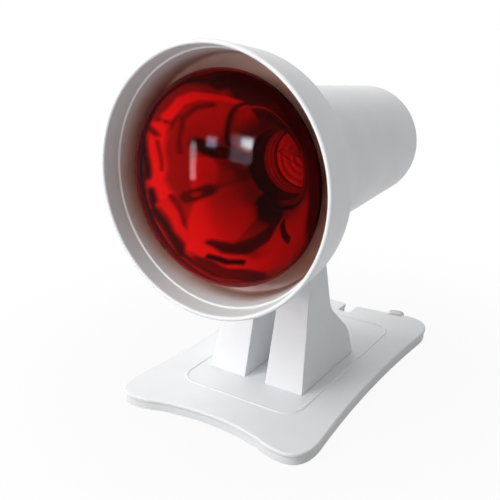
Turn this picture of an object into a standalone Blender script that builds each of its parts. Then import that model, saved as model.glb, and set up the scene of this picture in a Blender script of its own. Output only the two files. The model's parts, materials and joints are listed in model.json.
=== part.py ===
"""Infrared heat therapy lamp: a tilting head with a red reflector bulb on a stand with two arms.

Metres, +Z up. The front of the lamp faces -Y. Run with blender --background --python part.py
"""
import math

import bmesh
import bpy
from mathutils import Matrix, Vector

# Clearances shared by the whole lamp
FIT = 0.0003                 # gap left between two pieces that touch
RUN_GAP = 0.0005             # gap round a piece that slides or turns
OVERRUN = 0.0010             # how far a cutter runs past the face it opens
WELD = 0.00001

# Base: four hollowed sides with round corners
BASE_FRONT_HALF = 0.0575     # half the width at the front, where the sides would meet
BASE_BACK_HALF = 0.0546
BASE_HALF_LENGTH = 0.0881
FRONT_HOLLOW = 0.0154        # how deep the front edge curves in
SIDE_HOLLOW = 0.0057
BACK_HOLLOW = 0.0098
CORNER_REACH = 0.0296        # how far each round corner reaches along its sides
BASE_TOP = 0.0070            # height of the top face over the table
LIP_HEIGHT = 0.0023
LIP_ROUND = 0.0009
SKIRT_INSET = 0.0009
SKIRT_WALL = 0.0018
COVER_WALL = 0.0020
FLOOR_GAP = 0.0009           # from the table to the underside of the base
PLATE_THICK = 0.0018
NOTCH_WIDTH = 0.0062
NOTCH_DEPTH = 0.0110
NOTCH_ENTRY = 0.0028         # round of the notch's two outer corners
NOTCH_CORNER = 0.0010

# Raised bead on the base, round both arms
BEAD_HALF_WIDTH = 0.0339
BEAD_FRONT_INSET = 0.0200    # from the middle of the front edge back to the bead
BEAD_BACK_INSET = 0.0281     # from the line of the back corners forward to it
BEAD_FRONT = BASE_HALF_LENGTH - FRONT_HOLLOW - BEAD_FRONT_INSET
BEAD_BACK = BASE_HALF_LENGTH - BEAD_BACK_INSET
BEAD_CORNER = 0.0095
BEAD_RADIUS = 0.0009
BEAD_RISE = 0.0005

# Rubber feet, and the screws that hold the plate
FOOT_RADIUS = 0.0060
FOOT_HEIGHT = 0.0014
FOOT_CHAMFER = 0.0003
FOOT_SIDE_INSET = 0.0141     # from each corner of the base in to its foot, across and along
FOOT_END_INSET = 0.0226
SCREW_SIDE_INSET = 0.0161    # from each corner in to its screw
SCREW_END_INSET = 0.0381
BOSS_RADIUS = 0.0030

# Screws
SCREW_RADIUS = 0.0014
SCREW_HEAD_RADIUS = 0.0027
SCREW_HEAD_HEIGHT = 0.0014
SCREW_CROWN = 0.0006         # round of a pan head's edge
SCREW_POINT = 0.0008
FLAT_HEAD_HEIGHT = 0.0012
BASE_SCREW_LENGTH = 0.0046
ARM_SCREW_LENGTH = 0.0100
COVER_SCREW_LENGTH = 0.0090
HOLDER_SCREW_LENGTH = 0.0080
BRACKET_SCREW_LENGTH = 0.0100
TERMINAL_SCREW_LENGTH = 0.0050
LUG_SCREW_GRIP = 0.0045      # how far a lug screw reaches into the lug

# Arms
ARM_GAP = 0.0120             # between the two inner faces
ARM_OUTER = 0.0278           # from the middle to the outer face, at the foot
ARM_DRAFT_SHARE = 0.0915     # how fast the outer face leans in as it rises
ARM_FRONT = 0.0338           # foot of the front face, ahead of the middle of the base
ARM_BACK = 0.0223            # foot of the back edge, behind the middle of the base
ARM_WALL = 0.0016
ARM_EDGE = 0.0005
ARM_SEAT = 0.0006            # depth of the shallow seat that each arm stands in
ARM_HEAD_RADIUS = 0.0074
KNEE_BACK = 0.0185           # where the back edge turns to run forwards
KNEE_HEIGHT = 0.0155
WAIST_BACK = 0.0003          # where it turns to run up again
WAIST_HEIGHT = 0.0335
KNEE_REACH = 0.0052          # how far the round of each turn reaches
BLOCK_HALF = 0.0032          # screw blocks inside the foot
BLOCK_HEIGHT = 0.0120
FRONT_BLOCK = 0.0252         # ahead of the middle of the base
BACK_BLOCK = 0.0135          # behind the middle of the base
ARM_FILL = 0.0200            # how far the solid top of the left arm reaches under the pivot

# Pivot
PIVOT_HEIGHT = 0.0600        # over the top face of the base
PIVOT_AHEAD = 0.0095         # ahead of the middle of the base
REST_TILT = math.radians(3.2)
WASHER_THICK = 0.0006
WASHER_RADIUS = 0.0068
LUG_RADIUS = 0.0080
LUG_TOP_HALF = 0.0170
LUG_TOP_DEPTH = 0.0018       # height of the lug's thin ends under the can
LUG_EDGE = 0.0004
TUBE_RADIUS = 0.0040
TUBE_BORE = 0.0026
TUBE_REACH = 0.0115          # from the middle of the lamp into the right arm
TUBE_ROOT = 0.0014           # from the middle of the lamp, towards the left arm
INSERT_GAP = 0.0004
RING_RADIUS = 0.0051
RING_THICK = 0.0008
BOLT_RADIUS = 0.0025
BOLT_HEAD_RADIUS = 0.0042
BOLT_HEAD_HEIGHT = 0.0032
BOLT_HEAD_EDGE = 0.0006
BOLT_SINK = 0.0042
HEX_RADIUS = 0.0022
HEX_DEPTH = 0.0018

# Shade and can: depths run backwards from the plane of the shade's mouth
MOUTH_AHEAD = 0.0660         # from the pivot to the mouth
HEAD_RISE = 0.0482           # from the pivot up to the head's axis
SHADE_RADIUS = 0.0600
RIM_THICK = 0.00216
SHADE_TAPER = 0.0035         # how much narrower the shade is at its back
SHADE_BACK_RADIUS = SHADE_RADIUS - SHADE_TAPER
SHADE_BACK = 0.0262
SHADE_EDGE = 0.0017
SHADE_WALL = 0.0023
STEP_DEPTH = 0.0087          # the small step inside the shade
STEP_HEIGHT = 0.0009
SHOULDER_DEPTH = 0.0303
CAN_RADIUS = 0.0396
CAN_END_RADIUS = 0.0313
CAN_END = 0.1620
CAN_EDGE = 0.0040
CAN_WALL = 0.0018
SPIGOT_THICK = 0.0008
SPIGOT_LENGTH = 0.0022

# Vented rear cover
COVER_RADIUS = 0.0256
COVER_THICK = 0.0019
COVER_EDGE = 0.0005
LEDGE_WIDTH = 0.0023
LEDGE_THICK = 0.0016
COVER_SCREW_REACH = 0.0205   # from the head's axis to each cover screw
COVER_BOSS_HALF = 0.0032
COVER_BOSS_LENGTH = 0.0110
SLOT_COUNT = 7
SLOT_PITCH = 0.0046
SLOT_WIDTH = 0.0024
SLOT_MARGIN = 0.0042

# Bulb
BULB_RING = 0.0118           # from the widest ring of the bulb out to the rim of the shade
BULB_RADIUS = SHADE_RADIUS - BULB_RING
BULB_FACE = 0.0005           # depth of the middle of the face
BULB_WIDEST = 0.0142
BULB_SHOULDER = 0.0100
BOWL_START_RADIUS = 0.0482   # the two handles that shape the bowl, then the neck
BOWL_START = 0.0180
BOWL_TURN_RADIUS = 0.0190
BOWL_TURN = 0.0360
NECK_RADIUS = 0.0182
NECK_START = 0.0690
COLLAR_RADIUS = 0.0160
COLLAR_START = 0.0960
GLASS_END = 0.1050
GLASS_WALL = 0.0009
MIRROR_THICK = 0.0003
CAP_RADIUS = 0.0131
CAP_WALL = 0.0004
CAP_START = 0.1030
CAP_LENGTH = 0.0230
THREAD_PITCH = 0.00363
THREAD_DEPTH = 0.0006
THREAD_COUNT = 5
INSULATOR_LENGTH = 0.0034
INSULATOR_END_RADIUS = 0.0062
CONTACT_RADIUS = 0.0046
CONTACT_HEIGHT = 0.0018
CONTACT_EDGE = 0.0008
BULB_TURN = math.radians(21.3)
FILAMENT_DEPTH = 0.0755
DISC_BEHIND = 0.0075         # from the filament back to the heat disc
DISC_DEPTH = FILAMENT_DEPTH + DISC_BEHIND
DISC_THICK = 0.0004
DISC_GAP = 0.0005            # round the disc, inside the silvered lining
STEM_BEHIND = 0.0040         # from the disc back to the end of the stem
STEM_TOP = DISC_DEPTH + STEM_BEHIND
STEM_RADIUS = 0.0031
STEM_SHARE = 0.76            # how much of the stem runs straight before it flares
POST_RADIUS = 0.0005
POST_APART = 0.0020          # from the axis to each post, where it leaves the stem
POST_SPREAD = 0.0105         # from the axis to each post's tip
FILAMENT_RADIUS = 0.0004
FILAMENT_BOW = 0.0030

# Porcelain lampholder
HOLDER_RADIUS = 0.0190
HOLDER_START = 0.1045
HOLDER_STEP = 0.1310
HOLDER_BACK_RADIUS = 0.0160
HOLDER_END = 0.1460
HOLDER_FLOOR = 0.1368
HOLDER_EDGE = 0.0008
SHELL_WALL = 0.0005
SHELL_LENGTH = 0.0200
SPRING_HALF = 0.0030
SPRING_THICK = 0.0006
SPRING_FOOT = 0.0090

# Steel bracket behind the lampholder
BRACKET_THICK = 0.0015
BRACKET_HALF_WIDTH = 0.0060
BRACKET_HALF_LENGTH = 0.0288
BRACKET_CORNER = 0.0020
BRACKET_SCREW_X = 0.0262
HOLDER_SCREW_X = 0.0110
CAN_POST_REACH = 0.0226      # from the head's axis to the near face of each post
CAN_POST_HALF = 0.0038
CAN_POST_LENGTH = 0.0160
TERMINAL_Y = 0.0108

# Leads
LEAD_RADIUS = 0.0008
LEAD_APART = 0.0011          # from the middle of the pair to each lead
LEAD_COLUMN = 0.0160         # where the pair climbs inside the right arm
LEAD_BEND = 0.0030
TOP_BEND = 0.0040
LEAD_HOLE = 0.0030
LEAD_SHIFT = 0.0014          # where the upper pair leaves the pivot tube
WINDOW_RADIUS = 0.0023
CAN_BEND = 0.0055
LEAD_SPREAD = 0.0080         # from the head's axis to each lead, beside the lampholder
TERMINAL_TURN = 0.0064       # from the head's axis to the last turn before a terminal

# Cable gland
GLAND_SIDE_INSET = 0.0266    # from the back corner in to the gland
GLAND_X = BASE_BACK_HALF - GLAND_SIDE_INSET
GLAND_HALF = 0.0047
GLAND_HEIGHT = 0.0069
GLAND_OUT = 0.0030
GLAND_ROUND = 0.0024
GLAND_EDGE = 0.0005
BORE_HALF = 0.0028
BORE_HEIGHT = 0.0032
BORE_ROUND = 0.0012
EAR_START = 0.0036
EAR_END = 0.0068
EAR_THICK = 0.0016

# Smoothness
ROUND_STEPS = 40
BULB_STEPS = 32
SMALL_STEPS = 20
SCREW_STEPS = 8
EDGE_STEPS = 1
ARC_STEPS = 4
CURVE_STEPS = 5
SIDE_STEPS = 8
ROUTE_STEPS = 4

# Levels and places worked out from the sizes above
PLATE_TOP = FLOOR_GAP + PLATE_THICK
COVER_UNDER = BASE_TOP - COVER_WALL
SEAT_LEVEL = BASE_TOP - ARM_SEAT
ARM_FLOOR = SEAT_LEVEL + FIT
LEAD_LEVEL = (PLATE_TOP + COVER_UNDER) / 2
WALL_DEPTH = SKIRT_INSET + SKIRT_WALL
INNER_FACE = ARM_GAP / 2
ARM_MIDDLE = (INNER_FACE + ARM_OUTER) / 2
LUG_HALF = INNER_FACE - WASHER_THICK - 2 * FIT
SCREW_HOLE = SCREW_RADIUS + FIT
CAN_START = SHOULDER_DEPTH + FIT
CAN_TAPER = (CAN_RADIUS - CAN_END_RADIUS) / (CAN_END - CAN_EDGE - CAN_START)
LUG_SCREW_Y = (LUG_TOP_HALF + TUBE_RADIUS + SCREW_HEAD_RADIUS) / 2
COVER_SEAT = CAN_END - COVER_THICK - FIT
CAP_ROOT = CAP_RADIUS - THREAD_DEPTH
CAP_END = CAP_START + CAP_LENGTH
INSULATOR_START = CAP_END + FIT
CONTACT_START = INSULATOR_START + INSULATOR_LENGTH + FIT
CONTACT_END = CONTACT_START + CONTACT_HEIGHT
SHELL_RADIUS = CAP_RADIUS + RUN_GAP
HOLDER_BORE = SHELL_RADIUS + SHELL_WALL + FIT
BRACKET_START = HOLDER_END + FIT
BRACKET_BACK = BRACKET_START + BRACKET_THICK


# Scene

def clear_scene():
    for thing in list(bpy.data.objects):
        bpy.data.objects.remove(thing, do_unlink=True)


def make_collection(name):
    collection = bpy.data.collections.get(name) or bpy.data.collections.new(name)
    if name not in bpy.context.scene.collection.children:
        bpy.context.scene.collection.children.link(collection)
    return collection


def paint(name, colour, roughness, metallic=0.0, clear=0.0):
    look = bpy.data.materials.get(name) or bpy.data.materials.new(name)
    look.use_nodes = True
    shader = look.node_tree.nodes["Principled BSDF"]
    shader.inputs["Base Color"].default_value = (*colour, 1.0)
    shader.inputs["Roughness"].default_value = roughness
    shader.inputs["Metallic"].default_value = metallic
    shader.inputs["Transmission Weight"].default_value = clear
    return look


clear_scene()
PARTS = make_collection("infrared_heat_lamp")
CUTTERS = make_collection("lamp_cutters")
WHITE = paint("white_plastic", (0.80, 0.81, 0.82), 0.35)
GREY = paint("grey_plastic", (0.42, 0.43, 0.44), 0.50)
RUBBER = paint("black_rubber", (0.03, 0.03, 0.03), 0.80)
GLAND_RUBBER = paint("grey_rubber", (0.38, 0.39, 0.40), 0.65)
STEEL = paint("zinc_steel", (0.55, 0.56, 0.58), 0.30, metallic=1.0)
BRASS = paint("nickel_brass", (0.62, 0.56, 0.42), 0.28, metallic=1.0)
PORCELAIN = paint("white_porcelain", (0.78, 0.77, 0.72), 0.20)
RED_GLASS = paint("ruby_glass", (0.60, 0.01, 0.01), 0.05, clear=0.8)
MIRROR = paint("silver_mirror", (0.85, 0.80, 0.78), 0.08, metallic=1.0)
ALUMINIUM = paint("bulb_cap_aluminium", (0.70, 0.70, 0.70), 0.32, metallic=1.0)
BLACK_GLASS = paint("black_glass", (0.02, 0.02, 0.03), 0.15)
CLEAR_GLASS = paint("clear_glass", (0.80, 0.82, 0.80), 0.05, clear=0.9)
TUNGSTEN = paint("tungsten_wire", (0.22, 0.21, 0.20), 0.40, metallic=1.0)
BROWN_LEAD = paint("brown_insulation", (0.16, 0.06, 0.03), 0.45)
BLUE_LEAD = paint("blue_insulation", (0.03, 0.12, 0.36), 0.45)


def frame(name, parent=None, at=(0, 0, 0), turn=(0, 0, 0)):
    empty = bpy.data.objects.new(name, None)
    PARTS.objects.link(empty)
    empty.parent = parent
    empty.location = at
    empty.rotation_euler = turn
    return empty


def add_part(name, mesh, look, parent, at=(0, 0, 0), turn=(0, 0, 0)):
    part = bpy.data.objects.new(name, mesh)
    PARTS.objects.link(part)
    if not mesh.materials:
        mesh.materials.append(look)
    part.parent = parent
    part.location = at
    part.rotation_euler = turn
    return part


def add_copies(name, mesh, look, parent, places, turn=(0, 0, 0)):
    """Objects that share a mesh, one at each place, numbered from 1."""
    for k, place in enumerate(places):
        add_part(f"{name}_{k + 1}", mesh, look, parent, place, turn)


def add_cutter(name, mesh, parent, at=(0, 0, 0), turn=(0, 0, 0)):
    cutter = bpy.data.objects.new(name, mesh)
    CUTTERS.objects.link(cutter)
    cutter.parent = parent
    cutter.location = at
    cutter.rotation_euler = turn
    cutter.hide_render = True
    cutter.display_type = "WIRE"
    return cutter


def boolean(part, operation, cutters):
    for cutter in cutters:
        step = part.modifiers.new(cutter.name, "BOOLEAN")
        step.operation = operation
        step.solver = "EXACT"
        step.object = cutter


def cut(part, *cutters):
    boolean(part, "DIFFERENCE", cutters)


def join(part, *forms):
    boolean(part, "UNION", forms)


# Outlines, as lists of (x, y) points

def arc(centre, radius, start, end, steps=ARC_STEPS):
    """Points on an arc from one angle to another, in degrees, both ends included."""
    out = []
    for k in range(steps + 1):
        angle = math.radians(start + (end - start) * k / steps)
        out.append((centre[0] + radius * math.cos(angle), centre[1] + radius * math.sin(angle)))
    return out


def bezier(points, steps=CURVE_STEPS):
    """A Bezier curve with the given handles, both ends included."""
    out = []
    degree = len(points) - 1
    for k in range(steps + 1):
        t = k / steps
        weights = [math.comb(degree, i) * t ** i * (1 - t) ** (degree - i) for i in range(degree + 1)]
        out.append(tuple(sum(w * p[axis] for w, p in zip(weights, points)) for axis in range(2)))
    return out


def shifted(points, distance, closed=True):
    """Moves each point to the left of the line's direction, along its own bisector."""
    out = []
    last = len(points) - 1
    for k, point in enumerate(points):
        here = Vector(point)
        before = Vector(points[k - 1]) if closed or k > 0 else None
        after = Vector(points[(k + 1) % len(points)]) if closed or k < last else None
        first = (after - here).normalized() if before is None else (here - before).normalized()
        second = first if after is None else (after - here).normalized()
        normal = Vector((-first.y - second.y, first.x + second.x)).normalized()
        place = here + normal * (distance / normal.dot(Vector((-first.y, first.x))))
        out.append((place.x, place.y))
    return out


def round_rectangle(left, right, low, high, radius):
    out = arc((right - radius, high - radius), radius, 0, 90)
    out += arc((left + radius, high - radius), radius, 90, 180)
    out += arc((left + radius, low + radius), radius, 180, 270)
    out += arc((right - radius, low + radius), radius, 270, 360)
    return out


def under(points, level):
    """The part of an outline under a level."""
    out = []
    for k, here in enumerate(points):
        before = points[k - 1]
        if (before[1] <= level) != (here[1] <= level):
            t = (level - before[1]) / (here[1] - before[1])
            out.append((before[0] + t * (here[0] - before[0]), level))
        if here[1] <= level:
            out.append(here)
    return out


def hollow_side(start, end, hollow):
    """One side of the base, which curves in between two round corners."""
    start = Vector(start)
    along = Vector(end) - start
    inward = Vector((-along.y, along.x)).normalized()
    reach = CORNER_REACH / along.length
    out = []
    for k in range(SIDE_STEPS + 1):
        t = reach + (1 - 2 * reach) * k / SIDE_STEPS
        point = start + along * t + inward * (hollow * 4 * t * (1 - t))
        out.append((point.x, point.y))
    return out


def rear_edge(x):
    """How far behind the middle of the base its rear edge lies."""
    return BASE_HALF_LENGTH - BACK_HOLLOW * (1 - (x / BASE_BACK_HALF) ** 2)


def notch_outline(distance):
    """The notch in the rear edge, grown by a distance, from its right side to its left."""
    half = NOTCH_WIDTH / 2 + distance
    entry = max(NOTCH_ENTRY - distance, FIT)
    corner = NOTCH_CORNER + distance
    floor = rear_edge(0) - NOTCH_DEPTH - distance
    edge = rear_edge(half + entry) - distance
    right = arc((half + entry, edge - entry), entry, 90, 180)
    right += arc((half - corner, floor + corner), corner, 0, -90)
    left = [(-x, y) for x, y in reversed(right)]
    return right + left


def base_outline(distance=0.0):
    """The edge of the base, moved inwards by a distance."""
    corners = [(-BASE_FRONT_HALF, -BASE_HALF_LENGTH), (BASE_FRONT_HALF, -BASE_HALF_LENGTH),
               (BASE_BACK_HALF, BASE_HALF_LENGTH), (-BASE_BACK_HALF, BASE_HALF_LENGTH)]
    hollows = [FRONT_HOLLOW, SIDE_HOLLOW, BACK_HOLLOW, SIDE_HOLLOW]
    sides = [hollow_side(corners[k], corners[(k + 1) % 4], hollows[k]) for k in range(4)]
    edge = []
    for k in range(4):
        following = (k + 1) % 4
        edge += sides[k]
        edge += bezier([sides[k][-1], corners[following], sides[following][0]])[1:-1]
    edge = shifted(edge, distance)
    notch = notch_outline(distance)
    replaced = [k for k, (x, y) in enumerate(edge) if y > 0 and abs(x) < notch[0][0]]
    return edge[:replaced[0]] + notch + edge[replaced[-1] + 1:]


def arm_outline():
    """Side view of an arm, as (y, height over the arm's foot)."""
    sink = BASE_TOP - ARM_FLOOR
    centre = Vector((-PIVOT_AHEAD, PIVOT_HEIGHT + sink))
    foot = Vector((-ARM_FRONT, 0))
    back_foot = Vector((ARM_BACK, 0))
    knee = Vector((KNEE_BACK, KNEE_HEIGHT + sink))
    waist = Vector((WAIST_BACK, WAIST_HEIGHT + sink))
    top = Vector((centre.x + ARM_HEAD_RADIUS, centre.y))
    out = [tuple(back_foot)]
    for before, turn, after in ((back_foot, knee, waist), (knee, waist, top)):
        start = turn + (before - turn).normalized() * KNEE_REACH
        end = turn + (after - turn).normalized() * KNEE_REACH
        out += bezier([start, turn, end])
    away = foot - centre
    tangent = math.degrees(math.atan2(away.y, away.x) - math.acos(ARM_HEAD_RADIUS / away.length))
    out += arc(centre, ARM_HEAD_RADIUS, 0, tangent % 360, 2 * ARC_STEPS)
    out.append(tuple(foot))
    return out


def lug_outline():
    """Side view of the lug, as (y, height over the pivot). Its top is cut to the can."""
    low = can_bottom(0) - LUG_TOP_DEPTH
    high = can_bottom(0) + CAN_WALL
    corner = Vector((LUG_TOP_HALF, low))
    tangent = math.degrees(math.atan2(corner.y, corner.x) - math.acos(LUG_RADIUS / corner.length))
    out = [(LUG_TOP_HALF, low), (LUG_TOP_HALF, high), (-LUG_TOP_HALF, high), (-LUG_TOP_HALF, low)]
    return out + arc((0, 0), LUG_RADIUS, -180 - tangent, tangent, 2 * ARC_STEPS)


def can_radius(depth):
    return CAN_RADIUS - CAN_TAPER * (depth - CAN_START)


def can_bottom(y):
    """Height over the pivot of the can's lowest line, at a distance behind the pivot."""
    return HEAD_RISE - can_radius(MOUTH_AHEAD + y)


def arm_side(height):
    """From the middle of the lamp to an arm's outer face."""
    return ARM_OUTER - ARM_DRAFT_SHARE * height


# Meshes

def new_mesh(name, bm):
    mesh = bpy.data.meshes.new(name)
    bm.to_mesh(mesh)
    bm.free()
    mesh.shade_smooth()
    mesh.set_sharp_from_angle(angle=math.radians(35))
    return mesh


def evaluated(thing):
    """The mesh that a curve or a modifier gives, with its caps welded on."""
    bpy.context.scene.collection.objects.link(thing)
    bpy.context.view_layer.update()
    graph = bpy.context.evaluated_depsgraph_get()
    mesh = bpy.data.meshes.new_from_object(thing.evaluated_get(graph))
    bm = bmesh.new()
    bm.from_mesh(mesh)
    bmesh.ops.remove_doubles(bm, verts=bm.verts, dist=WELD)
    bpy.data.meshes.remove(mesh)
    bpy.data.objects.remove(thing, do_unlink=True)
    return bm


def curve_object(points, closed, dimensions):
    curve = bpy.data.curves.new("curve", "CURVE")
    curve.dimensions = dimensions
    spline = curve.splines.new("POLY")
    spline.points.add(len(points) - 1)
    for point, place in zip(spline.points, points):
        point.co = (*place, 1)
    spline.use_cyclic_u = closed
    return bpy.data.objects.new("curve", curve)


def flat_mesh(points, low, high, edge=0.0):
    """An anticlockwise outline made thick from low to high, with its rims rounded."""
    thing = curve_object([(x, y, 0) for x, y in shifted(points, edge)], True, "2D")
    thing.data.fill_mode = "BOTH"
    thing.data.extrude = (high - low) / 2 - edge
    thing.data.bevel_depth = edge
    thing.data.bevel_resolution = EDGE_STEPS
    bm = evaluated(thing)
    bmesh.ops.translate(bm, verts=bm.verts, vec=(0, 0, (low + high) / 2))
    return new_mesh("flat", bm)


def tube_mesh(points, radius, closed=False):
    thing = curve_object(points, closed, "3D")
    thing.data.bevel_depth = radius
    thing.data.bevel_resolution = EDGE_STEPS
    thing.data.use_fill_caps = not closed
    return new_mesh("tube", evaluated(thing))


def turned(name, profile, steps):
    """An object with a profile of (radius, depth) points and the modifier that turns it.

    A profile either goes all the way round a wall, or starts and ends on the axis.
    """
    pairs = zip(profile, profile[1:] + profile[:1])
    area = sum(first[0] * second[1] - second[0] * first[1] for first, second in pairs)
    ordered = profile if area < 0 else list(reversed(profile))
    bm = bmesh.new()
    rows = [bm.verts.new((radius, 0, depth)) for radius, depth in ordered]
    for first, second in zip(rows, rows[1:]):
        bm.edges.new((first, second))
    if ordered[0][0] > WELD:
        bm.edges.new((rows[-1], rows[0]))
    mesh = bpy.data.meshes.new(name)
    bm.to_mesh(mesh)
    bm.free()
    thing = bpy.data.objects.new(name, mesh)
    screw = thing.modifiers.new("Screw", "SCREW")
    screw.axis = "Z"
    screw.angle = math.tau
    screw.steps = steps
    screw.render_steps = steps
    screw.use_merge_vertices = True
    screw.merge_threshold = WELD
    screw.use_smooth_shade = True
    return thing


def turned_mesh(profile, steps):
    return new_mesh("turned", evaluated(turned("turned", profile, steps)))


def turned_part(name, profile, look, parent, steps=ROUND_STEPS):
    part = turned(name, profile, steps)
    PARTS.objects.link(part)
    part.data.materials.append(look)
    part.parent = parent
    return part


def rod_mesh(radius, low, high, steps=SMALL_STEPS):
    bm = bmesh.new()
    bmesh.ops.create_cone(bm, cap_ends=True, segments=steps, radius1=radius, radius2=radius,
                          depth=high - low, matrix=Matrix.Translation((0, 0, (low + high) / 2)))
    return new_mesh("rod", bm)


def cross_rod(radius, start, end, steps=SMALL_STEPS):
    """A rod along X."""
    mesh = rod_mesh(radius, start, end, steps)
    mesh.transform(Matrix.Rotation(math.radians(90), 4, "Y"))
    return mesh


def box_mesh(x_ends, y_ends, z_ends):
    """A box between three pairs of ends, each pair in either order."""
    ends = (sorted(x_ends), sorted(y_ends), sorted(z_ends))
    low = Vector([pair[0] for pair in ends])
    high = Vector([pair[1] for pair in ends])
    bm = bmesh.new()
    place = Matrix.Translation((low + high) / 2) @ Matrix.Diagonal((*(high - low), 1))
    bmesh.ops.create_cube(bm, size=1, matrix=place)
    return new_mesh("box", bm)


def together(meshes):
    bm = bmesh.new()
    for mesh in meshes:
        bm.from_mesh(mesh)
    return new_mesh("together", bm)


def moved(mesh, place):
    piece = mesh.copy()
    piece.transform(Matrix.Translation(place))
    return piece


def copies(mesh, places):
    return together([moved(mesh, place) for place in places])


def screw_mesh(length):
    """A pan-head screw along +Z, its head below the origin."""
    profile = [(0, -SCREW_HEAD_HEIGHT), (SCREW_HEAD_RADIUS - SCREW_CROWN, -SCREW_HEAD_HEIGHT),
               (SCREW_HEAD_RADIUS, SCREW_CROWN - SCREW_HEAD_HEIGHT), (SCREW_HEAD_RADIUS, 0),
               (SCREW_RADIUS, 0), (SCREW_RADIUS, length - SCREW_POINT), (0, length)]
    return turned_mesh(profile, SCREW_STEPS)


def flat_screw_mesh():
    """A countersunk screw along +Z, the top of its head at the origin."""
    profile = [(0, 0), (SCREW_HEAD_RADIUS, 0), (SCREW_RADIUS, FLAT_HEAD_HEIGHT),
               (SCREW_RADIUS, BASE_SCREW_LENGTH - SCREW_POINT), (0, BASE_SCREW_LENGTH)]
    return turned_mesh(profile, SCREW_STEPS)


def screw_well_mesh():
    """The hole that a countersunk screw needs."""
    wide = SCREW_HEAD_RADIUS + FIT
    profile = [(0, -OVERRUN), (wide, -OVERRUN), (wide, 0), (SCREW_HOLE, FLAT_HEAD_HEIGHT),
               (SCREW_HOLE, BASE_SCREW_LENGTH), (0, BASE_SCREW_LENGTH)]
    return turned_mesh(profile, SCREW_STEPS)


def smooth_route(points):
    """A curve through the points of a lead's route."""
    route = [Vector(point) for point in points]
    padded = [2 * route[0] - route[1]] + route + [2 * route[-1] - route[-2]]
    out = []
    for k in range(len(route) - 1):
        a, b, c, d = padded[k:k + 4]
        for step in range(ROUTE_STEPS):
            t = step / ROUTE_STEPS
            line = 2 * b + (c - a) * t + (2 * a - 5 * b + 4 * c - d) * t ** 2
            out.append((line + (3 * b - a - 3 * c + d) * t ** 3) / 2)
    out.append(route[-1])
    return out


# Frames: the stand, the gland in its rear edge, the head at the pivot, and the head's own axis

REAR_SLOPE = math.atan(2 * BACK_HOLLOW * GLAND_X / BASE_BACK_HALF ** 2)
PIVOT = (0, -PIVOT_AHEAD, BASE_TOP + PIVOT_HEIGHT)
STAND = frame("stand_frame")
GLAND = frame("gland_frame", STAND, (GLAND_X, rear_edge(GLAND_X), 0), (0, 0, REAR_SLOPE))
HEAD = frame("head_frame", STAND, PIVOT, (-REST_TILT, 0, 0))
HEAD_AXIS = frame("head_axis_frame", HEAD, (0, -MOUTH_AHEAD, HEAD_RISE), (math.radians(-90), 0, 0))
BULB = frame("bulb_frame", HEAD_AXIS, (0, 0, 0), (0, 0, BULB_TURN))
UPRIGHT = (math.radians(90), 0, 0)
SIDEWAYS = (math.radians(90), 0, math.radians(90))
BACKWARDS = (math.radians(180), 0, 0)


def corner_places(side_inset, end_inset, z=0):
    """A place by each corner of the base, front then back on each side."""
    y = BASE_HALF_LENGTH - end_inset
    corners = ((BASE_FRONT_HALF - side_inset, -y), (BASE_BACK_HALF - side_inset, y))
    return [(side * x, y, z) for side in (-1, 1) for x, y in corners]


def arm_screw_places(side, z):
    return [(side * ARM_MIDDLE, -FRONT_BLOCK, z), (side * ARM_MIDDLE, BACK_BLOCK, z)]


# Base

def base_cover():
    lip_low = BASE_TOP - LIP_HEIGHT
    cover = add_part("base_cover", flat_mesh(base_outline(), lip_low, BASE_TOP, LIP_ROUND), WHITE, STAND)
    skirt = flat_mesh(base_outline(SKIRT_INSET), FLOOR_GAP, lip_low + LIP_HEIGHT / 2)
    cavity = flat_mesh(base_outline(WALL_DEPTH), -OVERRUN, COVER_UNDER)
    join(cover, add_cutter("skirt_form", skirt, STAND))
    cut(cover, add_cutter("base_cavity", cavity, STAND))
    boss = rod_mesh(BOSS_RADIUS, PLATE_TOP + FIT, COVER_UNDER + COVER_WALL / 2, SMALL_STEPS // 2)
    bosses = copies(boss, corner_places(SCREW_SIDE_INSET, SCREW_END_INSET))
    ring = round_rectangle(-BEAD_HALF_WIDTH, BEAD_HALF_WIDTH, -BEAD_FRONT, BEAD_BACK, BEAD_CORNER)
    level = BASE_TOP + BEAD_RISE - BEAD_RADIUS
    bead = tube_mesh([(x, y, level) for x, y in ring], BEAD_RADIUS, closed=True)
    join(cover, add_cutter("boss_forms", bosses, STAND), add_cutter("bead_form", bead, STAND))
    seats = []
    holes = []
    bore = rod_mesh(SCREW_HOLE, COVER_UNDER - OVERRUN, BASE_TOP, SCREW_STEPS)
    for side in (-1, 1):
        seats.append(box_mesh((side * (INNER_FACE - FIT), side * (ARM_OUTER + FIT)),
                              (-ARM_FRONT - FIT, ARM_BACK + FIT), (SEAT_LEVEL, BASE_TOP + OVERRUN)))
        holes.append(copies(bore, arm_screw_places(side, 0)))
    tip = FLOOR_GAP + BASE_SCREW_LENGTH + 2 * FIT
    boss_bore = rod_mesh(SCREW_HOLE, PLATE_TOP, tip, SCREW_STEPS)
    holes.append(copies(boss_bore, corner_places(SCREW_SIDE_INSET, SCREW_END_INSET)))
    lead_hole = rod_mesh(LEAD_HOLE, COVER_UNDER - OVERRUN, BASE_TOP)
    holes.append(moved(lead_hole, (LEAD_COLUMN, -PIVOT_AHEAD, 0)))
    slot = flat_mesh(shifted(gland_outline(), -FIT), -GLAND_OUT, WALL_DEPTH + FIT)
    cut(cover, add_cutter("arm_seats", together(seats), STAND),
        add_cutter("cover_holes", together(holes), STAND),
        add_cutter("gland_slot", slot, GLAND, turn=UPRIGHT))
    return cover


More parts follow.
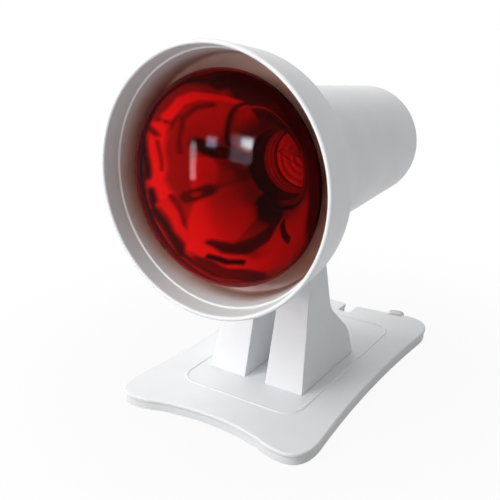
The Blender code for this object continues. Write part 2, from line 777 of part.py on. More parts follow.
def base_plate():
    outline = base_outline(WALL_DEPTH + FIT)
    plate = add_part("base_plate", flat_mesh(outline, FLOOR_GAP, PLATE_TOP), GREY, STAND)
    recess = rod_mesh(FOOT_RADIUS + FIT, 0, FOOT_HEIGHT + FIT)
    wells = copies(screw_well_mesh(),
                   corner_places(SCREW_SIDE_INSET, SCREW_END_INSET, FLOOR_GAP + FIT))
    recesses = copies(recess, corner_places(FOOT_SIDE_INSET, FOOT_END_INSET))
    cut(plate, add_cutter("foot_recesses", recesses, STAND),
        add_cutter("screw_wells", wells, STAND))
    return plate


def foot_pads():
    profile = [(0, 0), (FOOT_RADIUS - FOOT_CHAMFER, 0), (FOOT_RADIUS, FOOT_CHAMFER),
               (FOOT_RADIUS, FOOT_HEIGHT), (0, FOOT_HEIGHT)]
    pad = turned_mesh(profile, SMALL_STEPS)
    add_copies("foot_pad", pad, RUBBER, STAND, corner_places(FOOT_SIDE_INSET, FOOT_END_INSET))


def base_screws():
    places = corner_places(SCREW_SIDE_INSET, SCREW_END_INSET, FLOOR_GAP + FIT)
    add_copies("base_screw", flat_screw_mesh(), STEEL, STAND, places)


def gland_outline():
    """Rear view of the gland, as (x, height over the table)."""
    return round_rectangle(-GLAND_HALF, GLAND_HALF, FLOOR_GAP, FLOOR_GAP + GLAND_HEIGHT, GLAND_ROUND)


def cord_gland():
    """The gland fills a slot in the rear wall, and two ears hook behind the wall."""
    collar = flat_mesh(gland_outline(), -GLAND_OUT, WALL_DEPTH, GLAND_EDGE)
    gland = add_part("cord_gland", collar, GLAND_RUBBER, GLAND, turn=UPRIGHT)
    behind = -WALL_DEPTH - FIT
    levels = (PLATE_TOP + FIT, COVER_UNDER - FIT)
    ears = []
    hooks = []
    for side in (-1, 1):
        ears.append(box_mesh((side * EAR_START, side * (GLAND_HALF - GLAND_EDGE)),
                             (behind - EAR_THICK / 2, 2 * GLAND_EDGE - WALL_DEPTH), levels))
        hooks.append(box_mesh((side * EAR_START, side * EAR_END), (behind - EAR_THICK, behind), levels))
    outline = round_rectangle(-BORE_HALF, BORE_HALF, LEAD_LEVEL - BORE_HEIGHT / 2,
                              LEAD_LEVEL + BORE_HEIGHT / 2, BORE_ROUND)
    bore = flat_mesh(outline, -GLAND_OUT - OVERRUN, WALL_DEPTH + OVERRUN)
    join(gland, add_cutter("ear_forms", together(ears), GLAND),
         add_cutter("hook_forms", together(hooks), GLAND))
    cut(gland, add_cutter("gland_bore", bore, GLAND, turn=UPRIGHT))
    return gland


def lower_lead(name, side, look):
    """One lead from the gland, under the cover and up the right arm into the pivot tube."""
    turn = Matrix.Rotation(REAR_SLOPE, 3, "Z")
    gland = Vector((GLAND_X, rear_edge(GLAND_X), LEAD_LEVEL))
    offset = side * LEAD_APART
    past_screw = ARM_MIDDLE + SCREW_HEAD_RADIUS + 2 * LEAD_APART + LEAD_RADIUS
    foot = LEAD_COLUMN + offset
    route = [gland + turn @ Vector((offset, -SKIRT_WALL, 0)),
             gland + turn @ Vector((offset, -3 * WALL_DEPTH, 0)),
             (GLAND_X + offset, BASE_HALF_LENGTH - SCREW_END_INSET, LEAD_LEVEL),
             (past_screw + offset, 2 * BACK_BLOCK, LEAD_LEVEL),
             (past_screw + offset, BACK_BLOCK - BLOCK_HALF, LEAD_LEVEL), (foot, 0, LEAD_LEVEL),
             (foot, LEAD_BEND - PIVOT_AHEAD, LEAD_LEVEL)]
    points = smooth_route(route)[:-1]
    for y, z in arc((LEAD_BEND - PIVOT_AHEAD, LEAD_LEVEL + LEAD_BEND), LEAD_BEND, 270, 180):
        points.append((foot, y, z))
    for x, z in arc((LEAD_COLUMN - TOP_BEND, PIVOT[2] - TOP_BEND), TOP_BEND + offset, 0, 90):
        points.append((x, -PIVOT_AHEAD, z))
    points.append((LEAD_SHIFT + LEAD_RADIUS + FIT, -PIVOT_AHEAD, PIVOT[2] + offset))
    return add_part(name, tube_mesh(points, LEAD_RADIUS), look, STAND)


# Arms and their screws

def arm_form(points, inner, outer, side, edge=0.0):
    """A slab across the lamp whose outer face leans in as it rises."""
    mesh = flat_mesh(points, inner, outer, edge)
    for vertex in mesh.vertices:
        if vertex.co.z > (inner + outer) / 2:
            vertex.co.z -= ARM_DRAFT_SHARE * vertex.co.y
        vertex.co.z *= side
    if side < 0:
        mesh.flip_normals()
    return mesh


def arm(name, side, fill):
    """An arm, open at its foot; fill is how far its solid top reaches under the pivot."""
    at = (0, 0, ARM_FLOOR)
    outline = arm_outline()
    form = arm_form(outline, INNER_FACE, ARM_OUTER, side, ARM_EDGE)
    piece = add_part(name, form, WHITE, STAND, at, SIDEWAYS)
    room = [(y, -OVERRUN if z < 2 * ARM_WALL else z) for y, z in shifted(outline, ARM_WALL)]
    if fill > 0:
        room = under(room, PIVOT_HEIGHT - fill)
    hollow = arm_form(room, INNER_FACE + ARM_WALL, ARM_OUTER - ARM_WALL, side)
    cut(piece, add_cutter(name + "_hollow", hollow, STAND, at, SIDEWAYS))
    ends = (side * (INNER_FACE + ARM_WALL / 2), side * (arm_side(BLOCK_HEIGHT / 2) - ARM_WALL / 2))
    levels = (ARM_FLOOR + ARM_EDGE, ARM_FLOOR + BLOCK_HEIGHT)
    blocks = [box_mesh(ends, (y - BLOCK_HALF, y + BLOCK_HALF), levels) for y in (-FRONT_BLOCK, BACK_BLOCK)]
    join(piece, add_cutter(name + "_blocks", together(blocks), STAND))
    bore = rod_mesh(SCREW_HOLE, 0, COVER_UNDER + ARM_SCREW_LENGTH + FIT, SCREW_STEPS)
    cut(piece, add_cutter(name + "_bores", copies(bore, arm_screw_places(side, 0)), STAND))
    return piece


def arms():
    left = arm("left_arm", -1, ARM_FILL)
    right = arm("right_arm", 1, 0)
    outer = arm_side(PIVOT_HEIGHT)
    bolt_way = cross_rod(BOLT_RADIUS + FIT, -outer, OVERRUN - INNER_FACE)
    head_way = cross_rod(BOLT_HEAD_RADIUS + RUN_GAP, -outer - BOLT_SINK, BOLT_SINK - outer)
    tube_way = cross_rod(TUBE_RADIUS + FIT, INNER_FACE - OVERRUN, INNER_FACE + ARM_WALL + OVERRUN)
    cut(left, add_cutter("bolt_way", bolt_way, STAND, PIVOT), add_cutter("head_way", head_way, STAND, PIVOT))
    cut(right, add_cutter("tube_way", tube_way, STAND, PIVOT))


def arm_screws():
    places = arm_screw_places(-1, COVER_UNDER - FIT) + arm_screw_places(1, COVER_UNDER - FIT)
    add_copies("arm_screw", screw_mesh(ARM_SCREW_LENGTH), STEEL, STAND, places)


# Pivot: a bolt through the left arm, and a tube into the right arm that carries the leads

def ring_mesh(inner, outer, start, end):
    """A flat ring round the pivot's axis."""
    ring = turned_mesh([(inner, start), (outer, start), (outer, end), (inner, end)], SMALL_STEPS)
    ring.transform(Matrix.Rotation(math.radians(90), 4, "Y"))
    return ring


def friction_washers():
    near = LUG_HALF + FIT
    far = near + WASHER_THICK
    left = ring_mesh(BOLT_RADIUS + FIT, WASHER_RADIUS, -far, -near)
    right = ring_mesh(TUBE_RADIUS + FIT, WASHER_RADIUS, near, far)
    add_part("left_washer", left, STEEL, STAND, PIVOT)
    add_part("right_washer", right, STEEL, STAND, PIVOT)


def pivot_bolt():
    seat = -arm_side(PIVOT_HEIGHT) + BOLT_SINK - FIT
    top = seat - BOLT_HEAD_HEIGHT
    tip = -TUBE_ROOT - INSERT_GAP - FIT
    profile = [(0, tip), (BOLT_RADIUS, tip), (BOLT_RADIUS, seat), (BOLT_HEAD_RADIUS, seat),
               (BOLT_HEAD_RADIUS, top + BOLT_HEAD_EDGE), (BOLT_HEAD_RADIUS - BOLT_HEAD_EDGE, top), (0, top)]
    mesh = turned_mesh(profile, SMALL_STEPS)
    mesh.transform(Matrix.Rotation(math.radians(90), 4, "Y"))
    bolt = add_part("pivot_bolt", mesh, STEEL, HEAD)
    cut(bolt, add_cutter("hex_socket", cross_rod(HEX_RADIUS, top - OVERRUN, top + HEX_DEPTH, 6), HEAD))
    return bolt


def pivot_insert():
    """The threaded insert in the lug that takes the bolt."""
    body = cross_rod(TUBE_RADIUS, -LUG_HALF, -TUBE_ROOT - INSERT_GAP)
    insert = add_part("pivot_insert", body, BRASS, HEAD)
    cut(insert, add_cutter("insert_bore", cross_rod(BOLT_RADIUS + FIT, -INNER_FACE, 0), HEAD))
    return insert


def pivot_tube():
    tube = add_part("pivot_tube", cross_rod(TUBE_RADIUS, -TUBE_ROOT, TUBE_REACH), BRASS, HEAD)
    bore = cross_rod(TUBE_BORE, -TUBE_ROOT - OVERRUN, TUBE_REACH + OVERRUN)
    window = moved(rod_mesh(WINDOW_RADIUS, 0, LUG_RADIUS), (LEAD_SHIFT, 0, 0))
    cut(tube, add_cutter("tube_bore", bore, HEAD), add_cutter("tube_window", window, HEAD))
    return tube


def retaining_ring():
    start = INNER_FACE + ARM_WALL + FIT
    ring = ring_mesh(TUBE_RADIUS + FIT, RING_RADIUS, start, start + RING_THICK)
    return add_part("retaining_ring", ring, STEEL, HEAD)


def lug_screw_seat(y):
    """Height over the pivot of the place for a lug screw's head, on the can's inner face."""
    lift = SCREW_HEAD_RADIUS * (CAN_TAPER + SCREW_HEAD_RADIUS / CAN_RADIUS)
    return can_bottom(y) + CAN_WALL + lift + FIT


def lug_screw_length(y):
    return lug_screw_seat(y) - can_bottom(y) + LUG_SCREW_GRIP


def lug_screw_ways():
    ways = []
    for y in (-LUG_SCREW_Y, LUG_SCREW_Y):
        tip = lug_screw_seat(y) - lug_screw_length(y) - FIT
        ways.append(moved(rod_mesh(SCREW_HOLE, tip, HEAD_RISE / 2, SCREW_STEPS), (0, y, 0)))
    return together(ways)


def tilt_lug():
    """The lug under the can that turns between the two arms."""
    form = flat_mesh(lug_outline(), -LUG_HALF, LUG_HALF, LUG_EDGE)
    lug = add_part("tilt_lug", form, WHITE, HEAD, turn=SIDEWAYS)
    start = MOUTH_AHEAD - 2 * LUG_TOP_HALF
    end = MOUTH_AHEAD + 2 * LUG_TOP_HALF
    saddle = turned_mesh([(0, start), (can_radius(start) + FIT, start), (can_radius(end) + FIT, end),
                          (0, end)], ROUND_STEPS)
    pivot_way = cross_rod(TUBE_RADIUS + FIT, -INNER_FACE, INNER_FACE)
    channel = moved(rod_mesh(WINDOW_RADIUS, 0, HEAD_RISE / 2), (LEAD_SHIFT, 0, 0))
    cut(lug, add_cutter("saddle_form", saddle, HEAD_AXIS), add_cutter("pivot_way", pivot_way, HEAD),
        add_cutter("lead_channel", channel, HEAD), add_cutter("lug_screw_ways", lug_screw_ways(), HEAD))
    return lug


def lug_screws():
    """Two screws from inside the can down into the lug."""
    for name, y in (("lug_screw_front", -LUG_SCREW_Y), ("lug_screw_back", LUG_SCREW_Y)):
        add_part(name, screw_mesh(lug_screw_length(y)), STEEL, HEAD, (0, y, lug_screw_seat(y)), BACKWARDS)


# Shade, can and rear cover

def shade():
    rim = RIM_THICK / 2
    hole = CAN_RADIUS - CAN_WALL + SPIGOT_THICK + FIT
    lean = math.degrees(math.atan2(SHADE_BACK_RADIUS - CAN_RADIUS, SHOULDER_DEPTH - SHADE_BACK))
    inner_back = SHADE_BACK - SHADE_WALL - SHADE_EDGE
    inner_radius = SHADE_BACK_RADIUS - SHADE_WALL - SHADE_EDGE
    step = SHADE_RADIUS - RIM_THICK - STEP_HEIGHT
    profile = arc((SHADE_RADIUS - rim, rim), rim, 180, 360)
    profile += arc((SHADE_BACK_RADIUS - SHADE_EDGE, SHADE_BACK - SHADE_EDGE), SHADE_EDGE, 0, lean, 2)
    profile += [(CAN_RADIUS, SHOULDER_DEPTH), (hole, SHOULDER_DEPTH), (hole, SHOULDER_DEPTH - SHADE_WALL)]
    profile += arc((inner_radius, inner_back), SHADE_EDGE, lean, 0, 2)
    profile += [(step - STEP_HEIGHT, STEP_DEPTH + STEP_HEIGHT / 2), (step, STEP_DEPTH)]
    return turned_part("shade", profile, WHITE, HEAD_AXIS)


def rear_can():
    front = can_radius(CAN_START) - CAN_WALL
    back = can_radius(CAN_END) - CAN_WALL
    opening = COVER_RADIUS + FIT
    shelf = COVER_SEAT - LEDGE_THICK
    spigot = CAN_START - SPIGOT_LENGTH
    profile = [(CAN_RADIUS, CAN_START)]
    profile += arc((CAN_END_RADIUS - CAN_EDGE, CAN_END - CAN_EDGE), CAN_EDGE, 0, 90)
    profile += [(opening, CAN_END), (opening, COVER_SEAT), (opening - LEDGE_WIDTH, COVER_SEAT),
                (opening - LEDGE_WIDTH, shelf), (back - LEDGE_THICK, shelf), (back, shelf - LEDGE_THICK),
                (front, CAN_START), (front, spigot), (front + SPIGOT_THICK, spigot),
                (front + SPIGOT_THICK, CAN_START)]
    can = turned_part("rear_can", profile, WHITE, HEAD_AXIS)
    forms = []
    bores = []
    post_start = HOLDER_END - CAN_POST_LENGTH
    boss_start = COVER_SEAT - COVER_BOSS_LENGTH
    bracket_bore = rod_mesh(SCREW_HOLE, post_start + OVERRUN, HOLDER_END + OVERRUN, SCREW_STEPS)
    cover_bore = rod_mesh(SCREW_HOLE, boss_start + OVERRUN, COVER_SEAT + OVERRUN, SCREW_STEPS)
    for side in (-1, 1):
        forms.append(box_mesh((side * CAN_POST_REACH, side * (can_radius(HOLDER_END) - CAN_WALL / 2)),
                              (-CAN_POST_HALF, CAN_POST_HALF), (post_start, HOLDER_END)))
        forms.append(box_mesh((-COVER_BOSS_HALF, COVER_BOSS_HALF),
                              (side * (COVER_SCREW_REACH - COVER_BOSS_HALF), side * (back + CAN_WALL / 3)),
                              (boss_start, COVER_SEAT - FIT)))
        bores.append(moved(bracket_bore, (side * BRACKET_SCREW_X, 0, 0)))
        bores.append(moved(cover_bore, (0, side * COVER_SCREW_REACH, 0)))
    lead_way = moved(rod_mesh(TUBE_BORE, 0, HEAD_RISE / 2), (LEAD_SHIFT, 0, 0))
    join(can, add_cutter("can_forms", together(forms), HEAD_AXIS))
    cut(can, add_cutter("can_bores", together(bores), HEAD_AXIS), add_cutter("can_lead_way", lead_way, HEAD),
        add_cutter("can_screw_ways", lug_screw_ways(), HEAD))
    return can


def rear_cover():
    start = COVER_SEAT + FIT
    end = start + COVER_THICK
    profile = [(0, start), (COVER_RADIUS, start), (COVER_RADIUS, end - COVER_EDGE),
               (COVER_RADIUS - COVER_EDGE, end), (0, end)]
    cover = turned_part("rear_cover", profile, WHITE, HEAD_AXIS)
    slots = []
    for k in range(SLOT_COUNT):
        y = (k - (SLOT_COUNT - 1) / 2) * SLOT_PITCH
        half = math.sqrt(COVER_RADIUS ** 2 - y ** 2) - SLOT_MARGIN
        outline = arc((half, y), SLOT_WIDTH / 2, -90, 90) + arc((-half, y), SLOT_WIDTH / 2, 90, 270)
        slots.append(flat_mesh(outline, start - OVERRUN, end + OVERRUN))
    bore = rod_mesh(SCREW_HOLE, start - OVERRUN, end + OVERRUN, SCREW_STEPS)
    holes = copies(bore, [(0, side * COVER_SCREW_REACH, 0) for side in (-1, 1)])
    cut(cover, add_cutter("cover_slots", together(slots), HEAD_AXIS),
        add_cutter("cover_bores", holes, HEAD_AXIS))
    return cover


def forward_screws(name, length, seat, places):
    """Pan-head screws that point forwards, their heads behind the face at the depth named seat."""
    places = [(x, y, seat + FIT) for x, y in places]
    add_copies(name, screw_mesh(length), STEEL, HEAD_AXIS, places, BACKWARDS)


def head_screws():
    forward_screws("cover_screw", COVER_SCREW_LENGTH, COVER_SEAT + FIT + COVER_THICK,
                   [(0, -COVER_SCREW_REACH), (0, COVER_SCREW_REACH)])
    forward_screws("holder_screw", HOLDER_SCREW_LENGTH, BRACKET_BACK,
                   [(-HOLDER_SCREW_X, 0), (HOLDER_SCREW_X, 0)])
    forward_screws("bracket_screw", BRACKET_SCREW_LENGTH, BRACKET_BACK,
                   [(-BRACKET_SCREW_X, 0), (BRACKET_SCREW_X, 0)])
    forward_screws("terminal_screw", TERMINAL_SCREW_LENGTH, HOLDER_END,
                   [(0, -TERMINAL_Y), (0, TERMINAL_Y)])


# Lampholder

def lamp_holder():
    slope = HOLDER_RADIUS - HOLDER_BACK_RADIUS
    profile = [(0, HOLDER_FLOOR), (HOLDER_BORE, HOLDER_FLOOR), (HOLDER_BORE, HOLDER_START),
               (HOLDER_RADIUS - HOLDER_EDGE, HOLDER_START), (HOLDER_RADIUS, HOLDER_START + HOLDER_EDGE),
               (HOLDER_RADIUS, HOLDER_STEP), (HOLDER_BACK_RADIUS, HOLDER_STEP + slope),
               (HOLDER_BACK_RADIUS, HOLDER_END), (0, HOLDER_END)]
    holder = turned_part("lamp_holder", profile, PORCELAIN, HEAD_AXIS)
    bore = rod_mesh(SCREW_HOLE, HOLDER_FLOOR + OVERRUN, HOLDER_END + OVERRUN, SCREW_STEPS)
    places = [(-HOLDER_SCREW_X, 0, 0), (HOLDER_SCREW_X, 0, 0), (0, -TERMINAL_Y, 0), (0, TERMINAL_Y, 0)]
    cut(holder, add_cutter("holder_bores", copies(bore, places), HEAD_AXIS))
    return holder


def screw_shell():
    """The shell that the bulb's thread screws into, without its thread."""
    start = HOLDER_START + HOLDER_EDGE
    profile = [(SHELL_RADIUS, start), (SHELL_RADIUS + SHELL_WALL, start),
               (SHELL_RADIUS + SHELL_WALL, start + SHELL_LENGTH), (SHELL_RADIUS, start + SHELL_LENGTH)]
    return turned_part("screw_shell", profile, BRASS, HEAD_AXIS, SMALL_STEPS)


def contact_spring():
    """A bent strip that rises from the holder's floor to the bulb's contact."""
    seat = HOLDER_FLOOR - FIT
    crown = CONTACT_END + FIT
    strip = [(-SPRING_FOOT, seat), (-SPRING_FOOT / 2, seat), (-CONTACT_RADIUS / 2, crown + SPRING_THICK),
             (CONTACT_RADIUS, crown + SPRING_THICK)]
    outline = shifted(strip, -SPRING_THICK, closed=False) + list(reversed(strip))
    mesh = flat_mesh(outline, -SPRING_HALF, SPRING_HALF)
    return add_part("contact_spring", mesh, BRASS, HEAD_AXIS, turn=UPRIGHT)


def holder_bracket():
    outline = round_rectangle(-BRACKET_HALF_LENGTH, BRACKET_HALF_LENGTH, -BRACKET_HALF_WIDTH,
                              BRACKET_HALF_WIDTH, BRACKET_CORNER)
    bracket = add_part("holder_bracket", flat_mesh(outline, BRACKET_START, BRACKET_BACK), STEEL, HEAD_AXIS)
    bore = rod_mesh(SCREW_HOLE, BRACKET_START - OVERRUN, BRACKET_BACK + OVERRUN, SCREW_STEPS)
    places = [(side * x, 0, 0) for side in (-1, 1) for x in (HOLDER_SCREW_X, BRACKET_SCREW_X)]
    cut(bracket, add_cutter("bracket_bores", copies(bore, places), HEAD_AXIS))
    return bracket


def upper_lead(name, side, look):
    """One lead from the pivot tube, through the lug and along the can to its terminal."""
    inside = can_radius(MOUTH_AHEAD) - CAN_WALL
    centre = (MOUTH_AHEAD + CAN_BEND, inside - LEAD_RADIUS)
    points = [(LEAD_SHIFT, HEAD_RISE + LEAD_RADIUS / 2, MOUTH_AHEAD + side * LEAD_APART)]
    for along, down in arc(centre, CAN_BEND - side * LEAD_APART, 180, 270):
        points.append((LEAD_SHIFT, down, along))
    beside = side * LEAD_SPREAD
    wall = can_radius(HOLDER_STEP) - CAN_WALL - LEAD_BEND
    route = [points[-1], (beside, wall, (MOUTH_AHEAD + HOLDER_START) / 2),
             (beside, wall - LEAD_BEND / 2, HOLDER_STEP),
             (beside, HOLDER_RADIUS, HOLDER_END - LEAD_RADIUS)]
    if side < 0:
        behind = BRACKET_BACK + 2 * LEAD_RADIUS + SCREW_HEAD_HEIGHT
        past = BRACKET_HALF_WIDTH + LEAD_RADIUS
        route += [(beside, TERMINAL_Y, behind), (-HOLDER_SCREW_X / 2, 0, behind),
                  (-HOLDER_SCREW_X / 2, -past, behind)]
    level = HOLDER_END + 2 * LEAD_RADIUS
    end = side * TERMINAL_Y
    route += [(side * TERMINAL_TURN, end + side * LEAD_RADIUS, level),
              (side * (SCREW_HEAD_RADIUS + FIT), end, level)]
    points += smooth_route(route)[1:]
    return add_part(name, tube_mesh(points, LEAD_RADIUS), look, HEAD_AXIS)


# Bulb

def glass_outline():
    """Outer side of the bulb, as (radius, depth), from the middle of its face to the end of its neck."""
    centre = (BULB_RADIUS - BULB_SHOULDER, BULB_WIDEST)
    rise = BULB_WIDEST - BULB_FACE
    face = (centre[0] ** 2 + rise ** 2 - BULB_SHOULDER ** 2) / (2 * (rise - BULB_SHOULDER))
    lean = math.degrees(math.asin(centre[0] / (face - BULB_SHOULDER)))
    out = arc((0, BULB_FACE + face), face, -90, lean - 90)
    out += arc(centre, BULB_SHOULDER, lean - 90, 0)[1:]
    out += bezier([(BULB_RADIUS, BULB_WIDEST), (BOWL_START_RADIUS, BOWL_START),
                   (BOWL_TURN_RADIUS, BOWL_TURN),
                   (NECK_RADIUS, NECK_START)], SIDE_STEPS)[1:]
    neck = CAP_ROOT - CAP_WALL - FIT
    return out + [(COLLAR_RADIUS, COLLAR_START), (neck, CAP_START - OVERRUN), (neck, GLASS_END)]


def bulb_glass():
    outer = glass_outline()
    inner = shifted(outer, GLASS_WALL, closed=False)
    inner[0] = (0, BULB_FACE + GLASS_WALL)
    return turned_part("bulb_glass", outer + list(reversed(inner)), RED_GLASS, BULB, BULB_STEPS)


def bulb_mirror():
    """The silvered lining behind the widest ring of the bulb."""
    outline = glass_outline()
    first = next(k for k, point in enumerate(outline) if point[1] > BULB_WIDEST + GLASS_WALL)
    last = next(k for k, point in enumerate(outline) if point[1] > NECK_START)
    outer = shifted(outline, GLASS_WALL + FIT, closed=False)[first:last + 1]
    inner = shifted(outline, GLASS_WALL + FIT + MIRROR_THICK, closed=False)[first:last + 1]
    return turned_part("bulb_mirror", outer + list(reversed(inner)), MIRROR, BULB, BULB_STEPS)


def bulb_cap():
    inner = CAP_ROOT - CAP_WALL
    start = CAP_END - THREAD_COUNT * THREAD_PITCH
    profile = [(inner, CAP_START), (CAP_RADIUS, CAP_START), (CAP_RADIUS, start - THREAD_DEPTH)]
    for k in range(THREAD_COUNT):
        ridge = start + k * THREAD_PITCH
        profile += [(CAP_ROOT, ridge), (CAP_RADIUS, ridge + THREAD_PITCH / 3),
                    (CAP_RADIUS, ridge + THREAD_PITCH * 2 / 3)]
    profile += [(CAP_ROOT, CAP_END), (inner, CAP_END)]
    return turned_part("bulb_cap", profile, ALUMINIUM, BULB, SMALL_STEPS)


def cap_end():
    end = INSULATOR_START + INSULATOR_LENGTH
    insulator = [(0, INSULATOR_START), (CAP_ROOT, INSULATOR_START), (INSULATOR_END_RADIUS, end), (0, end)]
    turned_part("cap_insulator", insulator, BLACK_GLASS, BULB, SMALL_STEPS)
    contact = [(0, CONTACT_START), (CONTACT_RADIUS, CONTACT_START),
               (CONTACT_RADIUS, CONTACT_END - CONTACT_EDGE),
               (CONTACT_RADIUS - CONTACT_EDGE, CONTACT_END), (0, CONTACT_END)]
    turned_part("cap_contact", contact, BRASS, BULB, SMALL_STEPS)


def lining_radius(depth):
    """Radius inside the silvered lining at a depth in the neck."""
    lining = shifted(glass_outline(), GLASS_WALL + FIT + MIRROR_THICK, closed=False)
    for (radius, start), (end_radius, end) in zip(lining, lining[1:]):
        if start <= depth <= end:
            return radius + (end_radius - radius) * (depth - start) / (end - start)


def heat_disc():
    """The disc across the neck that keeps heat off the cap; the posts pass through it."""
    back = DISC_DEPTH + DISC_THICK
    radius = lining_radius(back) - DISC_GAP
    disc = add_part("heat_disc", rod_mesh(radius, DISC_DEPTH, back), ALUMINIUM, BULB)
    hole = rod_mesh(POST_RADIUS + FIT, DISC_DEPTH - OVERRUN, DISC_DEPTH + OVERRUN, SCREW_STEPS)
    cut(disc, add_cutter("disc_holes", copies(hole, [(-POST_APART, 0, 0), (POST_APART, 0, 0)]), BULB))
    return disc


def bulb_stem():
    """The glass stem that closes the neck and carries the posts."""
    flare = CAP_ROOT - CAP_WALL - GLASS_WALL - 2 * FIT
    flared = GLASS_END - GLASS_WALL
    straight = STEM_TOP + (flared - STEM_TOP) * STEM_SHARE
    profile = [(0, STEM_TOP), (STEM_RADIUS, STEM_TOP), (STEM_RADIUS, straight),
               (flare, flared), (flare, GLASS_END), (0, GLASS_END)]
    return turned_part("bulb_stem", profile, CLEAR_GLASS, BULB, SMALL_STEPS)


def filament():
    tip = FILAMENT_DEPTH + FILAMENT_RADIUS + FIT
    for name, side in (("filament_post_left", -1), ("filament_post_right", 1)):
        route = [(side * POST_APART, 0, STEM_TOP - FIT), (side * POST_APART, 0, DISC_DEPTH - OVERRUN),
                 (side * POST_SPREAD, 0, tip + FILAMENT_BOW), (side * POST_SPREAD, 0, tip)]
        add_part(name, tube_mesh(route, POST_RADIUS), STEEL, BULB)
    line = bezier([(-POST_SPREAD, FILAMENT_DEPTH), (0, FILAMENT_DEPTH - 2 * FILAMENT_BOW),
                   (POST_SPREAD, FILAMENT_DEPTH)], 2 * CURVE_STEPS)
    coil = tube_mesh([(x, 0, depth) for x, depth in line], FILAMENT_RADIUS)
    return add_part("filament", coil, TUNGSTEN, BULB)


def centre_lamp():
    """Moves the whole lamp so that the middle of its box stands on the origin."""
    bpy.context.view_layer.update()
    graph = bpy.context.evaluated_depsgraph_get()
    places = []
    for part in PARTS.objects:
        if part.type == "MESH":
            solid = part.evaluated_get(graph)
            places += [solid.matrix_world @ vertex.co for vertex in solid.data.vertices]
    for axis in range(2):
        values = [place[axis] for place in places]
        STAND.location[axis] -= (min(values) + max(values)) / 2


base_cover()
base_plate()
foot_pads()
base_screws()
cord_gland()
lower_lead("live_lead_lower", -1, BROWN_LEAD)
lower_lead("neutral_lead_lower", 1, BLUE_LEAD)
arms()
arm_screws()
friction_washers()
pivot_bolt()
pivot_insert()
pivot_tube()
retaining_ring()
tilt_lug()
lug_screws()
shade()
rear_can()
rear_cover()
head_screws()
lamp_holder()
screw_shell()
contact_spring()
holder_bracket()
upper_lead("live_lead_upper", -1, BROWN_LEAD)
upper_lead("neutral_lead_upper", 1, BLUE_LEAD)
bulb_glass()
bulb_mirror()
bulb_cap()
cap_end()
heat_disc()
bulb_stem()
filament()
centre_lamp()
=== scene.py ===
"""The look of the infrared heat lamp: white moulded head and stand, ruby reflector bulb.

Metres, +Z up, the front of the lamp faces -Y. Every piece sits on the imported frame.
"""
import json
import math

import bmesh
import bpy
from mathutils import Matrix, Vector, noise


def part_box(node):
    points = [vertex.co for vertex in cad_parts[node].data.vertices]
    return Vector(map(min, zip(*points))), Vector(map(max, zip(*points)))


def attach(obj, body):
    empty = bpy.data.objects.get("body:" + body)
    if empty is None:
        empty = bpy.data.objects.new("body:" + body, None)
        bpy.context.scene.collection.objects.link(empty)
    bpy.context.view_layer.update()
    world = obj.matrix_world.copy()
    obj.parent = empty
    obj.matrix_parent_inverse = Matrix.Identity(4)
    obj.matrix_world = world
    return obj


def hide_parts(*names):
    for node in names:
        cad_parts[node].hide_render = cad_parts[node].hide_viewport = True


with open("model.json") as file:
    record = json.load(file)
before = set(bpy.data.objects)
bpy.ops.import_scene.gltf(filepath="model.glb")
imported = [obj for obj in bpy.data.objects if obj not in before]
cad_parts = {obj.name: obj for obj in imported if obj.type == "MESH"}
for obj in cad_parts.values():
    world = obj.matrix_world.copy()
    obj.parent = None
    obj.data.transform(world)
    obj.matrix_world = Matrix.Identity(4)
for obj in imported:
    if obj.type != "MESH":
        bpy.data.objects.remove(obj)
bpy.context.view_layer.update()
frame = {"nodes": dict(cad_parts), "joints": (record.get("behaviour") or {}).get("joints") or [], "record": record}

MM = 0.001
FIT = 0.3 * MM
WELD = 0.00001

# Base
BASE_FRONT_HALF = 57.5 * MM
BASE_BACK_HALF = 54.6 * MM
BASE_HALF_LENGTH = 88.1 * MM
FRONT_HOLLOW = 15.4 * MM
SIDE_HOLLOW = 5.7 * MM
BACK_HOLLOW = 9.8 * MM
CORNER_REACH = 29.6 * MM
BASE_TOP = 7.0 * MM
LIP_HEIGHT = 2.3 * MM
LIP_ROUND = 0.9 * MM
SKIRT_INSET = 0.9 * MM
WALL_DEPTH = 2.7 * MM
COVER_UNDER = 5.0 * MM
FLOOR_GAP = 0.9 * MM
NOTCH_WIDTH = 6.2 * MM
NOTCH_DEPTH = 11.0 * MM
NOTCH_ENTRY = 2.8 * MM
NOTCH_CORNER = 1.0 * MM
BEAD_HALF_WIDTH = 33.9 * MM
BEAD_FRONT = 52.7 * MM
BEAD_BACK = 60.0 * MM
BEAD_CORNER = 9.5 * MM
BEAD_RADIUS = 0.9 * MM
BEAD_RISE = 0.5 * MM
FOOT_RADIUS = 6.0 * MM
FOOT_HEIGHT = 1.4 * MM
FOOT_EDGE = 0.3 * MM
FOOT_CUP = (3.4 * MM, 3.6 * MM)
FOOT_CUP_DEPTH = 0.1 * MM
SCREW_RADIUS = 1.4 * MM
SCREW_HEAD_RADIUS = 2.7 * MM
FLAT_HEAD = 1.2 * MM
FLAT_LENGTH = 4.6 * MM
PAN_HEAD = 1.4 * MM
PAN_LENGTH = 9.0 * MM
PAN_ROUND = 0.7 * MM
SCREW_EDGE = 0.1 * MM
SCREW_TIP = (0.3 * MM, 0.8 * MM)
CROSS_HALF = 0.28 * MM
CROSS_DEPTH = 0.8 * MM
CROSS_SHARE = 0.55
GLAND_X = 28.0 * MM
GLAND_HALF = 4.7 * MM
GLAND_HEIGHT = 6.9 * MM
GLAND_CORNER = 2.4 * MM
GLAND_REACH = 3.0 * MM
GLAND_EDGE = 0.5 * MM
GLAND_GROOVE = (-2.0 * MM, -1.3 * MM)
BORE_HALF = 2.8 * MM
BORE_ENDS = (2.25 * MM, 5.45 * MM)
BORE_CORNER = 1.2 * MM
BORE_DEPTH = 6.0 * MM
OVERRUN = 1.0 * MM
SEAT_GAP = 0.05 * MM

